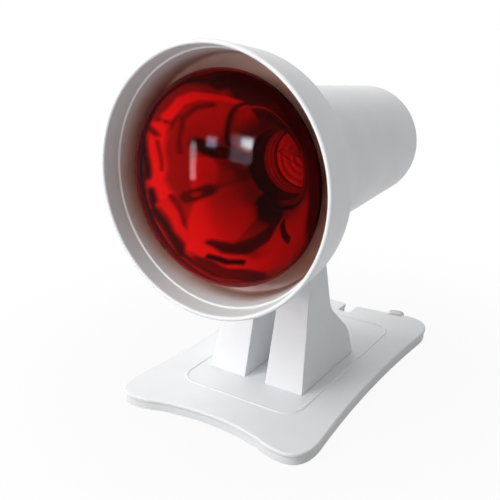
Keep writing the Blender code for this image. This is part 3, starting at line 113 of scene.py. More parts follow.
# Arms and pivot
INNER_FACE = 6.0 * MM
ARM_OUTER = 27.8 * MM
ARM_LEAN_SHARE = 0.0915
ARM_FRONT = 33.8 * MM
ARM_BACK = 22.3 * MM
ARM_SEAT = 0.6 * MM
ARM_FLOOR = 6.7 * MM
ARM_EDGE = 0.5 * MM
ARM_HEAD_RADIUS = 7.4 * MM
KNEE = (18.5 * MM, 15.5 * MM)
WAIST = (0.3 * MM, 33.5 * MM)
KNEE_REACH = 5.2 * MM
PIVOT_HEIGHT = 60.0 * MM
PIVOT_AHEAD = 9.5 * MM
LUG_HALF = 4.8 * MM
LUG_RADIUS = 8.0 * MM
LUG_TOP_HALF = 17.0 * MM
LUG_TOP_DEPTH = 1.8 * MM
TUBE_RADIUS = 4.0 * MM
BOLT_RADIUS = 2.5 * MM
BOLT_HEAD_RADIUS = 4.2 * MM
BOLT_SINK = 4.2 * MM
BOLT_ROOM = 0.5 * MM
TUBE_SEAT = 6.0 * MM
LUG_EDGE = 0.4 * MM

# Head
REST_TILT = math.radians(3.2)
MOUTH_AHEAD = 66.0 * MM
HEAD_RISE = 48.2 * MM
SHADE_RADIUS = 60.0 * MM
RIM_THICK = 2.16 * MM
SHADE_BACK_RADIUS = 56.5 * MM
SHADE_BACK = 26.2 * MM
SHADE_EDGE = 1.7 * MM
SHADE_WALL = 2.3 * MM
STEP_DEPTH = 8.7 * MM
STEP_HEIGHT = 0.9 * MM
SHOULDER_DEPTH = 30.3 * MM
CAN_START = 30.6 * MM
CAN_RADIUS = 39.6 * MM
CAN_END_RADIUS = 31.3 * MM
CAN_END = 162.0 * MM
CAN_EDGE = 4.0 * MM
CAN_WALL = 1.8 * MM
SPIGOT_THICK = 0.8 * MM
SPIGOT_LENGTH = 2.2 * MM
COVER_RADIUS = 25.6 * MM
COVER_THICK = 1.9 * MM
COVER_SEAT = 159.8 * MM
COVER_SCREW_REACH = 20.5 * MM
COVER_EDGE = 0.5 * MM
COVER_CHAMFER = 0.2 * MM
COVER_BORE = 1.7 * MM
COVER_LEDGE = 2.3 * MM
LEDGE_THICK = 1.6 * MM
POST_REACH = 22.6 * MM
POST_HALF = 3.8 * MM
POST_ENDS = (130 * MM, 146 * MM)
POST_SINK = 0.9 * MM
BOSS_HALF = 3.2 * MM
BOSS_REACH = 17.3 * MM
BOSS_LENGTH = 11.0 * MM
BOSS_SINK = 0.6 * MM
SOFT_CORNER = 0.15 * MM
SLOT_COUNT = 7
SLOT_PITCH = 4.6 * MM
SLOT_WIDTH = 2.4 * MM
SLOT_MARGIN = 4.2 * MM
SLOT_CUT = 8.0 * MM

# Bulb
BULB_RADIUS = 48.2 * MM
BULB_FACE = 0.5 * MM
BULB_WIDEST = 14.2 * MM
BULB_SHOULDER = 10.0 * MM
BOWL_START = (48.2 * MM, 18.0 * MM)
BOWL_TURN = (19.0 * MM, 36.0 * MM)
NECK_RADIUS = 18.2 * MM
NECK_START = 69.0 * MM
COLLAR = (16.0 * MM, 96.0 * MM)
GLASS_END = 105.0 * MM
GLASS_WALL = 0.9 * MM
MIRROR_THICK = 0.3 * MM
NECK_END_RADIUS = 11.8 * MM
CAP_RADIUS = 13.1 * MM
CAP_START = 103.0 * MM
CAP_END = 126.0 * MM
CAP_WALL = 0.4 * MM
THREAD_PITCH = 3.63 * MM
THREAD_DEPTH = 0.6 * MM
THREAD_COUNT = 5
BULB_TURN = math.radians(21.3)
FILAMENT_DEPTH = 75.5 * MM
FILAMENT_BOW = 3.0 * MM
POST_APART = 2.0 * MM
POST_SPREAD = 10.5 * MM
POST_RADIUS = 0.5 * MM
DISC_DEPTH = 83.0 * MM
DISC_THICK = 0.4 * MM
DISC_RINGS = 4
DISC_STEPS = 60
DISC_SKIN = 0.15 * MM
COIL_TURNS = 38.0
COIL_RADIUS = 0.28 * MM
WIRE_RADIUS = 0.11 * MM
FACE_POINTS = 37

# Places
TILT = next(joint for joint in frame["joints"] if joint["name"] == "head_tilt")
PIVOT = Vector(TILT["pos_m"])
STAND = Matrix.Translation((0, PIVOT.y + PIVOT_AHEAD, 0))
HEAD = Matrix.Translation(PIVOT) @ Matrix.Rotation(-REST_TILT, 4, "X")
HEAD_AXIS = (HEAD @ Matrix.Translation((0, -MOUTH_AHEAD, HEAD_RISE))
             @ Matrix.Rotation(math.radians(-90), 4, "X"))
BULB = HEAD_AXIS @ Matrix.Rotation(BULB_TURN, 4, "Z")
SIDEWAYS = Matrix.Rotation(math.radians(90), 4, "Z") @ Matrix.Rotation(math.radians(90), 4, "X")


# Outlines

def arc(centre, radius, start, end, steps=8):
    out = []
    for k in range(steps + 1):
        angle = math.radians(start + (end - start) * k / steps)
        out.append((centre[0] + radius * math.cos(angle), centre[1] + radius * math.sin(angle)))
    return out


def bezier(points, steps=12):
    out = []
    degree = len(points) - 1
    for k in range(steps + 1):
        t = k / steps
        weights = [math.comb(degree, i) * t ** i * (1 - t) ** (degree - i) for i in range(degree + 1)]
        out.append(tuple(sum(w * p[axis] for w, p in zip(weights, points)) for axis in range(2)))
    return out


def shifted(points, distance, closed=True):
    out = []
    last = len(points) - 1
    for k, point in enumerate(points):
        here = Vector(point)
        before = Vector(points[k - 1]) if closed or k > 0 else None
        after = Vector(points[(k + 1) % len(points)]) if closed or k < last else None
        first = (after - here).normalized() if before is None else (here - before).normalized()
        second = first if after is None else (after - here).normalized()
        normal = Vector((-first.y - second.y, first.x + second.x)).normalized()
        place = here + normal * (distance / normal.dot(Vector((-first.y, first.x))))
        out.append((place.x, place.y))
    return out


def round_rectangle(left, right, low, high, radius):
    out = arc((right - radius, high - radius), radius, 0, 90)
    out += arc((left + radius, high - radius), radius, 90, 180)
    out += arc((left + radius, low + radius), radius, 180, 270)
    out += arc((right - radius, low + radius), radius, 270, 360)
    return out


def rear_edge(x):
    return BASE_HALF_LENGTH - BACK_HOLLOW * (1 - (x / BASE_BACK_HALF) ** 2)


def base_outline(distance=0.0):
    corners = [(-BASE_FRONT_HALF, -BASE_HALF_LENGTH), (BASE_FRONT_HALF, -BASE_HALF_LENGTH),
               (BASE_BACK_HALF, BASE_HALF_LENGTH), (-BASE_BACK_HALF, BASE_HALF_LENGTH)]
    sides = []
    for k, hollow in enumerate((FRONT_HOLLOW, SIDE_HOLLOW, BACK_HOLLOW, SIDE_HOLLOW)):
        start = Vector(corners[k])
        along = Vector(corners[(k + 1) % 4]) - start
        inward = Vector((-along.y, along.x)).normalized()
        reach = CORNER_REACH / along.length
        side = []
        for step in range(33):
            t = reach + (1 - 2 * reach) * step / 32
            side.append(tuple(start + along * t + inward * (hollow * 4 * t * (1 - t))))
        sides.append(side)
    edge = []
    for k in range(4):
        following = (k + 1) % 4
        edge += sides[k]
        edge += bezier([sides[k][-1], corners[following], sides[following][0]], 16)[1:-1]
    edge = shifted(edge, distance)
    half = NOTCH_WIDTH / 2 + distance
    entry = max(NOTCH_ENTRY - distance, FIT)
    corner = NOTCH_CORNER + distance
    floor = rear_edge(0) - NOTCH_DEPTH - distance
    level = rear_edge(half + entry) - distance
    right = arc((half + entry, level - entry), entry, 90, 180)
    right += arc((half - corner, floor + corner), corner, 0, -90)
    notch = right + [(-x, y) for x, y in reversed(right)]
    replaced = [k for k, (x, y) in enumerate(edge) if y > 0 and abs(x) < notch[0][0]]
    return edge[:replaced[0]] + notch + edge[replaced[-1] + 1:]


def arm_outline():
    sink = BASE_TOP - ARM_FLOOR
    centre = Vector((-PIVOT_AHEAD, PIVOT_HEIGHT + sink))
    foot = Vector((-ARM_FRONT, 0))
    back_foot = Vector((ARM_BACK, 0))
    knee = Vector((KNEE[0], KNEE[1] + sink))
    waist = Vector((WAIST[0], WAIST[1] + sink))
    top = Vector((centre.x + ARM_HEAD_RADIUS, centre.y))
    out = [tuple(back_foot)]
    for before, turn, after in ((back_foot, knee, waist), (knee, waist, top)):
        start = turn + (before - turn).normalized() * KNEE_REACH
        end = turn + (after - turn).normalized() * KNEE_REACH
        out += bezier([start, turn, end])
    away = foot - centre
    tangent = math.degrees(math.atan2(away.y, away.x) - math.acos(ARM_HEAD_RADIUS / away.length))
    out += arc(centre, ARM_HEAD_RADIUS, 0, tangent % 360, 24)
    out.append(tuple(foot))
    return out


def can_radius(depth):
    taper = (CAN_RADIUS - CAN_END_RADIUS) * (depth - CAN_START) / (CAN_END - CAN_EDGE - CAN_START)
    return CAN_RADIUS - taper


# Meshes

def mesh_from(bm):
    mesh = bpy.data.meshes.new("mesh")
    bm.to_mesh(mesh)
    bm.free()
    return mesh


def evaluated(thing):
    """A plain mesh from an object's curve or modifiers; the object is removed."""
    bpy.context.scene.collection.objects.link(thing)
    bpy.context.view_layer.update()
    graph = bpy.context.evaluated_depsgraph_get()
    mesh = bpy.data.meshes.new_from_object(thing.evaluated_get(graph))
    bpy.data.objects.remove(thing, do_unlink=True)
    return mesh


def welded(mesh):
    bm = bmesh.new()
    bm.from_mesh(mesh)
    bmesh.ops.remove_doubles(bm, verts=bm.verts, dist=WELD)
    return mesh_from(bm)


def slab(points, low, high, edge=0.0, rounds=4):
    """An anticlockwise outline made thick, with rounded rims."""
    curve = bpy.data.curves.new("outline", "CURVE")
    curve.dimensions = "2D"
    curve.fill_mode = "BOTH"
    curve.extrude = (high - low) / 2 - edge
    curve.bevel_depth = edge
    curve.bevel_resolution = rounds
    line = curve.splines.new("POLY")
    line.points.add(len(points) - 1)
    for point, (x, y) in zip(line.points, shifted(points, edge)):
        point.co = (x, y, 0, 1)
    line.use_cyclic_u = True
    mesh = welded(evaluated(bpy.data.objects.new("outline", curve)))
    mesh.transform(Matrix.Translation((0, 0, (low + high) / 2)))
    return mesh


def tube(points, radius):
    """A closed tube along a loop of points."""
    curve = bpy.data.curves.new("tube", "CURVE")
    curve.dimensions = "3D"
    curve.bevel_depth = radius
    curve.bevel_resolution = 4
    line = curve.splines.new("POLY")
    line.points.add(len(points) - 1)
    for point, place in zip(line.points, points):
        point.co = (*place, 1)
    line.use_cyclic_u = True
    return welded(evaluated(bpy.data.objects.new("tube", curve)))


def ring_of(bm, radius, depth, steps):
    """A ring of new points round the depth axis, or one point on it."""
    if radius <= 0:
        return [bm.verts.new((0, 0, depth))]
    angles = [math.tau * k / steps for k in range(steps)]
    return [bm.verts.new((radius * math.cos(angle), radius * math.sin(angle), depth))
            for angle in angles]


def lathe(profile, steps=128, second_from=None):
    """Turns a profile of (radius, depth) points about the depth axis.

    The profile goes round a wall, or starts and ends on the axis. Faces from the point
    second_from onwards take the second material.
    """
    bm = bmesh.new()
    rings = [ring_of(bm, radius, depth, steps) for radius, depth in profile]
    pairs = list(zip(rings, rings[1:]))
    if profile[0][0] > 0:
        pairs.append((rings[-1], rings[0]))
    for index, (first, second) in enumerate(pairs):
        for k in range(steps):
            after = (k + 1) % steps
            corners = [first[k % len(first)], first[after % len(first)],
                       second[after % len(second)], second[k % len(second)]]
            face = bm.faces.new(list(dict.fromkeys(corners)))
            if second_from is not None and index >= second_from:
                face.material_index = 1
    bmesh.ops.recalc_face_normals(bm, faces=bm.faces)
    return mesh_from(bm)


def rod(radius, low, high, steps=64):
    return lathe([(0, low), (radius, low), (radius, high), (0, high)], steps)


def box(x_ends, y_ends, z_ends):
    ends = (sorted(x_ends), sorted(y_ends), sorted(z_ends))
    low = Vector([pair[0] for pair in ends])
    high = Vector([pair[1] for pair in ends])
    bm = bmesh.new()
    bmesh.ops.create_cube(bm, size=1, matrix=Matrix.Translation((low + high) / 2)
                          @ Matrix.Diagonal((*(high - low), 1)))
    return mesh_from(bm)


def put(mesh, place):
    copy = mesh.copy()
    copy.transform(place)
    return copy


def carved(mesh, joins=(), cuts=()):
    """A mesh with forms joined to it, then others cut out of it."""
    thing = bpy.data.objects.new("carved", mesh)
    tools = []
    for operation, forms in (("UNION", joins), ("DIFFERENCE", cuts)):
        for form in forms:
            tool = bpy.data.objects.new("tool", form)
            bpy.context.scene.collection.objects.link(tool)
            tools.append(tool)
            step = thing.modifiers.new("step", "BOOLEAN")
            step.operation = operation
            step.solver = "EXACT"
            step.use_self = True
            step.object = tool
    result = evaluated(thing)
    for tool in tools:
        bpy.data.objects.remove(tool, do_unlink=True)
    return result


def dress(name, mesh, place, looks, body, *nodes):
    """Makes a finished piece: its place in its mesh, smooth shading, materials, body and nodes."""
    mesh.transform(place)
    mesh.name = name
    mesh.shade_smooth()
    mesh.set_sharp_from_angle(angle=math.radians(32))
    smooth = bpy.data.objects.new(name, mesh)
    even = smooth.modifiers.new("even", "WEIGHTED_NORMAL")
    even.keep_sharp = True
    mesh = evaluated(smooth)
    slots = [min(face.material_index, len(looks) - 1) for face in mesh.polygons]
    mesh.materials.clear()
    for look in looks:
        mesh.materials.append(look)
    mesh.polygons.foreach_set("material_index", slots)
    thing = bpy.data.objects.new(name, mesh)
    bpy.context.scene.collection.objects.link(thing)
    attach(thing, body)
    if nodes:
        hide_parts(*nodes)
    return thing


# Node trees

SOCKETS = {int: "NodeSocketInt", float: "NodeSocketFloat", tuple: "NodeSocketVector"}
ORIGIN = (0.0, 0.0, 0.0)


def new_tree(name, kind, inputs, outputs):
    """A node tree and its two end nodes.

    An input has a starting value, or else the name of its socket type, as each output has.
    """
    tree = bpy.data.node_groups.new(name, kind)
    for label, value in inputs.items():
        plain = type(value) in SOCKETS
        socket_type = SOCKETS[type(value)] if plain else value
        socket = tree.interface.new_socket(label, in_out="INPUT", socket_type=socket_type)
        if plain:
            socket.default_value = value
    for label, socket_type in outputs.items():
        tree.interface.new_socket(label, in_out="OUTPUT", socket_type=socket_type)
    return tree, tree.nodes.new("NodeGroupInput"), tree.nodes.new("NodeGroupOutput")


def form_tree(name, inputs):
    """A tree that makes a form, with named inputs for its sizes and its material."""
    geometry = {"Geometry": "NodeSocketGeometry"}
    return new_tree(name, "GeometryNodeTree",
                    {**geometry, **inputs, "Material": "NodeSocketMaterial"}, geometry)


def wired(tree, node, links):
    """Sets a node's inputs to values, or links them to sockets."""
    for key, value in links.items():
        if isinstance(value, bpy.types.NodeSocket):
            tree.links.new(value, node.inputs[key])
        else:
            node.inputs[key].default_value = value
    return node


def step_node(tree, kind, links=None, **settings):
    """A node with its settings made and its inputs wired."""
    node = tree.nodes.new(kind)
    for key, value in settings.items():
        setattr(node, key, value)
    return wired(tree, node, links or {})


def math_node(tree, operation, *values):
    return step_node(tree, "ShaderNodeMath", dict(enumerate(values)), operation=operation).outputs[0]


def vector_node(tree, parts):
    return step_node(tree, "ShaderNodeCombineXYZ", parts).outputs[0]


def finish_tree(tree, ins, outs, geometry):
    real = step_node(tree, "GeometryNodeRealizeInstances", {"Geometry": geometry})
    painted = step_node(tree, "GeometryNodeSetMaterial",
                        {"Geometry": real.outputs[0], "Material": ins.outputs["Material"]})
    tree.links.new(painted.outputs[0], outs.inputs[0])
    return tree


def slot_row_tree():
    """A row of straight slots with round ends, each as long as the round cover lets it be."""
    tree, ins, outs = form_tree("slot_row", {
        "Count": SLOT_COUNT, "Pitch": SLOT_PITCH, "Cover Radius": COVER_RADIUS, "Margin": SLOT_MARGIN,
        "Width": SLOT_WIDTH, "Depth": SLOT_CUT})
    value = ins.outputs
    row = math_node(tree, "MULTIPLY", math_node(tree, "ADD", value["Count"], -1.0), value["Pitch"])
    start = vector_node(tree, {1: math_node(tree, "MULTIPLY", row, -0.5)})
    line = step_node(tree, "GeometryNodeMeshLine",
                     {"Count": value["Count"], "Start Location": start,
                      "Offset": vector_node(tree, {1: value["Pitch"]})}).outputs[0]
    place = step_node(tree, "ShaderNodeSeparateXYZ",
                      {0: step_node(tree, "GeometryNodeInputPosition").outputs[0]}).outputs[1]
    chord = math_node(tree, "SUBTRACT",
                      math_node(tree, "MULTIPLY", value["Cover Radius"], value["Cover Radius"]),
                      math_node(tree, "MULTIPLY", place, place))
    half = math_node(tree, "SUBTRACT", math_node(tree, "SQRT", chord), value["Margin"])
    size = vector_node(tree, {0: math_node(tree, "MULTIPLY", half, 2.0), 1: value["Width"],
                              2: value["Depth"]})
    bar = step_node(tree, "GeometryNodeMeshCube")
    middle = step_node(tree, "GeometryNodeInstanceOnPoints",
                       {"Points": line, "Instance": bar.outputs[0], "Scale": size})
    peg = step_node(tree, "GeometryNodeMeshCylinder",
                    {"Vertices": 24, "Radius": math_node(tree, "MULTIPLY", value["Width"], 0.5),
                     "Depth": value["Depth"]})
    join = tree.nodes.new("GeometryNodeJoinGeometry")
    tree.links.new(middle.outputs[0], join.inputs[0])
    for side in (-1.0, 1.0):
        shift = vector_node(tree, {0: math_node(tree, "MULTIPLY", half, side)})
        moved = step_node(tree, "GeometryNodeSetPosition", {"Geometry": line, "Offset": shift})
        ends = step_node(tree, "GeometryNodeInstanceOnPoints",
                         {"Points": moved.outputs[0], "Instance": peg.outputs[0]})
        tree.links.new(ends.outputs[0], join.inputs[0])
    return finish_tree(tree, ins, outs, join.outputs[0])


def copies_tree():
    """A copy of one form on each point of the mesh."""
    tree, ins, outs = form_tree("copies_on_points", {"Form": "NodeSocketObject", "Turn": ORIGIN})
    form = step_node(tree, "GeometryNodeObjectInfo", {"Object": ins.outputs["Form"]})
    turn = step_node(tree, "FunctionNodeEulerToRotation", {0: ins.outputs["Turn"]})
    copies = step_node(tree, "GeometryNodeInstanceOnPoints",
                       {"Points": ins.outputs["Geometry"], "Instance": form.outputs["Geometry"],
                        "Rotation": turn.outputs[0]})
    return finish_tree(tree, ins, outs, copies.outputs[0])


def coil_tree():
    """Wire wound round a bowed line."""
    tree, ins, outs = form_tree("wound_coil", {
        "Start": ORIGIN, "Middle": ORIGIN, "End": ORIGIN, "Turns": COIL_TURNS,
        "Coil Radius": COIL_RADIUS, "Wire Radius": WIRE_RADIUS})
    value = ins.outputs
    bow = step_node(tree, "GeometryNodeCurveQuadraticBezier",
                    {"Resolution": 32, "Start": value["Start"], "Middle": value["Middle"],
                     "End": value["End"]})
    fine = step_node(tree, "GeometryNodeResampleCurve", {"Curve": bow.outputs[0], "Count": 420})
    along = step_node(tree, "GeometryNodeSplineParameter").outputs["Factor"]
    angle = math_node(tree, "MULTIPLY", along, math_node(tree, "MULTIPLY", value["Turns"], math.tau))
    waves = {axis: math_node(tree, "MULTIPLY", math_node(tree, wave, angle), value["Coil Radius"])
             for axis, wave in ((1, "COSINE"), (2, "SINE"))}
    wound = step_node(tree, "GeometryNodeSetPosition",
                      {"Geometry": fine.outputs[0], "Offset": vector_node(tree, waves)})
    ring = step_node(tree, "GeometryNodeCurvePrimitiveCircle",
                     {"Resolution": 6, "Radius": value["Wire Radius"]})
    wire = step_node(tree, "GeometryNodeCurveToMesh",
                     {"Curve": wound.outputs[0], "Profile Curve": ring.outputs[0], "Fill Caps": True})
    return finish_tree(tree, ins, outs, wire.outputs[0])


def grown(tree, values, base=None):
    """The plain mesh that a tree makes with these values."""
    thing = bpy.data.objects.new("grown", base or bpy.data.meshes.new("grown"))
    step = thing.modifiers.new("grown", "NODES")
    step.node_group = tree
    for item in tree.interface.items_tree:
        if item.in_out == "INPUT" and item.name in values:
            step[item.identifier] = values[item.name]
    return evaluated(thing)


def on_points(form, places, turn, look):
    """One form copied to several places."""
    model = bpy.data.objects.new("form", form)
    bpy.context.scene.collection.objects.link(model)
    points = bpy.data.meshes.new("places")
    points.from_pydata([tuple(place) for place in places], [], [])
    mesh = grown(COPIES, {"Form": model, "Turn": turn, "Material": look}, points)
    bpy.data.objects.remove(model, do_unlink=True)
    return mesh


def noise_at(tree, where, scale, detail=2.0, roughness=0.5):
    return step_node(tree, "ShaderNodeTexNoise", {"Vector": where, "Scale": scale, "Detail": detail,
                                                  "Roughness": roughness}).outputs[0]


def ranged(tree, value, low, high, new_low=0.0, new_high=1.0, kind="LINEAR"):
    return step_node(tree, "ShaderNodeMapRange", {"Value": value, "From Min": low, "From Max": high,
                                                  "To Min": new_low, "To Max": new_high},
                     interpolation_type=kind).outputs[0]


def moulded_group():
    """Moulded plastic: a fine spark texture and broad, faint uneven patches."""
    tree, ins, outs = new_tree("moulded_surface", "ShaderNodeTree",
                               {"Vector": ORIGIN, "Spark Scale": 2600.0, "Patch Scale": 38.0},
                               {"Height": "NodeSocketFloat", "Patch": "NodeSocketFloat"})
    value = ins.outputs
    wired(tree, outs, {"Height": noise_at(tree, value["Vector"], value["Spark Scale"], roughness=0.6),
                       "Patch": noise_at(tree, value["Vector"], value["Patch Scale"], 4.0, 0.55)})
    return tree


def scuff_group():
    """Fine rubbed lines, as on handled plastic and drawn metal."""
    tree, ins, outs = new_tree("scuffs", "ShaderNodeTree",
                               {"Vector": ORIGIN, "Scale": 60.0, "Stretch": (1.0, 12.0, 12.0)},
                               {"Mask": "NodeSocketFloat"})
    value = ins.outputs
    long = step_node(tree, "ShaderNodeVectorMath", {0: value["Vector"], 1: value["Stretch"]},
                     operation="MULTIPLY").outputs[0]
    lines = noise_at(tree, long, value["Scale"], 6.0, 0.7)
    wired(tree, outs, {"Mask": ranged(tree, lines, 0.5, 0.68)})
    return tree


# Looks

def new_look(name):
    """A material, its tree and shader, and the place on the piece."""
    look = bpy.data.materials.new(name)
    look.use_nodes = True
    tree = look.node_tree
    where = step_node(tree, "ShaderNodeTexCoord").outputs["Object"]
    return look, tree, tree.nodes["Principled BSDF"], where


def placed(tree, group, links):
    return step_node(tree, "ShaderNodeGroup", links, node_tree=group).outputs


def blend_colour(tree, factor, first, second):
    ends = {index: value if isinstance(value, bpy.types.NodeSocket) else (*value, 1)
            for index, value in ((6, first), (7, second))}
    return step_node(tree, "ShaderNodeMix", {0: factor, **ends}, data_type="RGBA").outputs[2]


def bumped(tree, height, strength, distance):
    return step_node(tree, "ShaderNodeBump", {"Height": height, "Strength": strength,
                                              "Distance": distance}).outputs[0]


def plastic(name, colour, shade, rough, relief=0.05):
    look, tree, shader, where = new_look(name)
    skin = placed(tree, MOULDED, {"Vector": where})
    rub = placed(tree, SCUFFS, {"Vector": where, "Scale": 26.0, "Stretch": (1.0, 9.0, 5.0)})
    worn = math_node(tree, "MULTIPLY", rub["Mask"], ROUGH_SPREAD * WORN_SHARE)
    base = ranged(tree, skin["Patch"], 0.3, 0.7, rough - ROUGH_SPREAD, rough + ROUGH_SPREAD)
    wired(tree, shader, {
        "Base Color": blend_colour(tree, ranged(tree, skin["Patch"], 0.35, 0.65), colour, shade),
        "Roughness": math_node(tree, "ADD", base, worn), "Specular IOR Level": 0.3,
        "Normal": bumped(tree, skin["Height"], relief, FINE_RELIEF)})
    return look


def metal(name, colour, dark, rough):
    look, tree, shader, where = new_look(name)
    rub = placed(tree, SCUFFS, {"Vector": where, "Scale": 90.0, "Stretch": (1.0, 14.0, 14.0)})
    skin = placed(tree, MOULDED, {"Vector": where, "Patch Scale": 120.0})
    line = math_node(tree, "MULTIPLY", rub["Mask"], 0.18)
    base = ranged(tree, skin["Patch"], 0.3, 0.7, rough, rough + 0.1)
    wired(tree, shader, {
        "Base Color": blend_colour(tree, ranged(tree, skin["Patch"], 0.35, 0.7), colour, dark),
        "Roughness": math_node(tree, "ADD", line, base), "Metallic": 1.0,
        "Normal": bumped(tree, rub["Mask"], 0.08, FINE_RELIEF)})
    return look


def head_place(tree, where):
    """Object coordinates turned into the head's own: across, down and depth."""
    return step_node(tree, "ShaderNodeMapping", {
        "Vector": where, "Location": HEAD_AXIS.translation, "Rotation": HEAD_AXIS.to_euler()},
        vector_type="TEXTURE").outputs[0]


# How far the plastics' roughness goes up and down, and the depth of the finest relief
ROUGH_SPREAD = 0.06
WORN_SHARE = 0.8
FINE_RELIEF = 0.1 * MM

# Where the bulb's glass is painted a darker red towards its edge, as painted shade
EDGE_SHADE_FROM = 40.0 * MM
EDGE_SHADE_TO = 46.5 * MM

# The bulb's red reflection and the shade behind the bulb, painted inside the shade: where they start and end in
# depth, how much nearer the mouth they start on the left and later at the top, and their colours on the way
RED_REFLECTION_FROM = 11.0 * MM
RED_REFLECTION_TO = 28.0 * MM
RED_REFLECTION_LEFT = 8.5 * MM
RED_REFLECTION_TOP = 3.5 * MM
RED_REFLECTION_UNEVEN = 1.2 * MM
RED_REFLECTION_AND_SHADE_RAMP = ((0.05, (0.80, 0.81, 0.815)), (0.25, (0.79, 0.775, 0.765)), (0.52, (0.70, 0.54, 0.47)),
            (0.74, (0.60, 0.35, 0.27)), (0.88, (0.52, 0.23, 0.17)), (1.00, (0.26, 0.06, 0.045)))


def shade_inside_with_painted_reflection():
    """White plastic with the bulb's red reflection and shade painted on, deepest near the bulb."""
    look, tree, shader, where = new_look("shade_inside_painted_red_reflection")
    skin = placed(tree, MOULDED, {"Vector": where, "Patch Scale": 55.0})
    across, down, depth = step_node(tree, "ShaderNodeSeparateXYZ", {0: head_place(tree, where)}).outputs
    reach = math_node(tree, "ADD", depth,
                      ranged(tree, skin["Patch"], 0.3, 0.7, -RED_REFLECTION_UNEVEN, RED_REFLECTION_UNEVEN))
    for operation, side, most in (("ADD", across, RED_REFLECTION_LEFT), ("SUBTRACT", down, RED_REFLECTION_TOP)):
        slope = math_node(tree, "MULTIPLY", side, -most / SHADE_RADIUS)
        reach = math_node(tree, operation, reach, math_node(tree, "MAXIMUM", slope, 0.0))
    # The ramp paints the bulb's red reflection, then painted shade, into the base colour
    ramp = step_node(tree, "ShaderNodeValToRGB", {0: ranged(tree, reach, RED_REFLECTION_FROM, RED_REFLECTION_TO)})
    marks = ramp.color_ramp.elements
    marks[0].position, marks[0].color = RED_REFLECTION_AND_SHADE_RAMP[0][0], (*RED_REFLECTION_AND_SHADE_RAMP[0][1], 1)
    marks[1].position, marks[1].color = RED_REFLECTION_AND_SHADE_RAMP[-1][0], (*RED_REFLECTION_AND_SHADE_RAMP[-1][1], 1)
    for place, colour in RED_REFLECTION_AND_SHADE_RAMP[1:-1]:
        marks.new(place).color = (*colour, 1)
    wired(tree, shader, {"Base Color": ramp.outputs[0],
                         "Roughness": ranged(tree, skin["Patch"], 0.3, 0.7, 0.30, 0.42),
                         "Normal": bumped(tree, skin["Height"], 0.05, FINE_RELIEF)})
    return look


# Painted reflections of light and dark in the silvering, in mm from the bulb's axis, right and down:
# the points of each stroke, its width, its soft edge and how bright it is
PAINTED_REFLECTION_STROKES = (
    (((-35, -2), (-31, 3)), 13.0, 6.0, 0.36),
    (((-17, -25), (-15, -24)), 13.0, 6.0, 0.62),
    (((-10, -6), (-6, 4)), 11.0, 5.0, 0.62),
    (((22, 28), (31, 14)), 12.0, 5.0, 0.85),
    (((8, -36), (32, -28)), 15.0, 6.0, 0.025),
    (((43, -14), (46, 12)), 9.0, 4.0, 0.03),
    (((5, -28), (20, -33)), 2.6, 2.0, 0.12),
    (((10, -23), (22, -30)), 1.6, 1.4, 0.10),
    (((-32, -33), (-18, -39), (-3, -42), (12, -40)), 3.4, 1.6, 0.015),
    (((-38, -27), (-29, -32), (-21, -35), (-14, -36)), 4.4, 2.2, 0.30),
    (((-36, -24), (-29, -30.5), (-21, -33.5), (-14, -34), (-8, -33.5), (-2, -31)), 2.2, 1.2, 1.0),
    (((-2, -31), (-4, -26), (-10, -19)), 2.8, 1.8, 0.95),
    (((-31, -23), (-24, -28), (-16, -30)), 1.3, 1.1, 0.20),
    (((-31, -23), (-33.5, -14), (-34.5, -6)), 1.1, 1.0, 0.16),
    (((-39.5, -19), (-42, -6), (-42.4, 7), (-39, 14)), 3.2, 1.8, 1.0),
    (((-40.5, -12), (-41, 2)), 0.9, 0.8, 0.35),
    (((-45.4, -14), (-46.2, -4), (-45.6, 5)), 1.6, 1.5, 0.0),
    (((-42.4, -19), (-40.6, -15.5)), 1.5, 1.5, 0.12),
    (((-43.6, 11), (-41.5, 17)), 1.6, 1.5, 0.0),
    (((-38, 18), (-30, 28.5), (-21.5, 34)), 2.4, 1.6, 0.85),
    (((-40.5, 21), (-33, 30.5), (-24, 37.5)), 1.7, 1.5, 0.02),
    (((-36.5, 14.5), (-29.5, 25.5), (-20, 32.5)), 1.1, 0.9, 0.22),
    (((-27.5, -10.5), (-21.6, -5)), 3.6, 1.4, 0.02),
    (((-21.6, -5), (-15.5, 1)), 2.4, 1.4, 0.08),
    (((-28, 0), (-26.5, 9)), 4.2, 1.2, 0.80),
    (((-19, 6), (-13, 7)), 3.6, 1.6, 0.60),
    (((-10.5, 4.5), (-7, 9)), 3.6, 1.4, 0.12),
    (((-15.5, 22.6), (-14, 24)), 13.2, 1.6, 0.90),
    (((-30.6, 15.4), (-27, 13.8), (-24.4, 12.2)), 3.3, 1.6, 0.09),
    (((-28.5, 14.4), (-27.3, 14)), 1.4, 1.0, 0.45),
    (((-6, 17.2), (1.5, 22), (11.6, 23.2)), 3.0, 1.2, 0.07),
    (((11.6, 23.2), (12, 27.2), (6.2, 32.6), (-3.7, 35.6), (-14.6, 34.8)), 3.4, 1.4, 0.06),
    (((18, 22), (22, 23.4), (26.6, 23.8)), 1.6, 0.5, 0.0),
    (((-21, 35), (-8, 40.2), (13, 39.2), (31, 29.6)), 3.0, 1.4, 0.92),
    (((-13, 39.4), (-2.3, 40.4), (6.5, 39.4)), 1.3, 0.9, 0.0),
    (((-18, 41), (2, 44.4), (22, 39.6)), 1.6, 0.9, 0.12),
)
# How far the strokes sway, and the share of its soft edge by which each fades past its width
WARP = 1.7 * MM
FADE_SHARE = 0.6
# Painted reflected rings round the neck's opening, in mm: radius, width and how bright
NECK_RINGS = ((25.8, 1.7, 0.05), (23.4, 1.4, 0.75))
NECK_CENTRE = (6.8, -7.1)
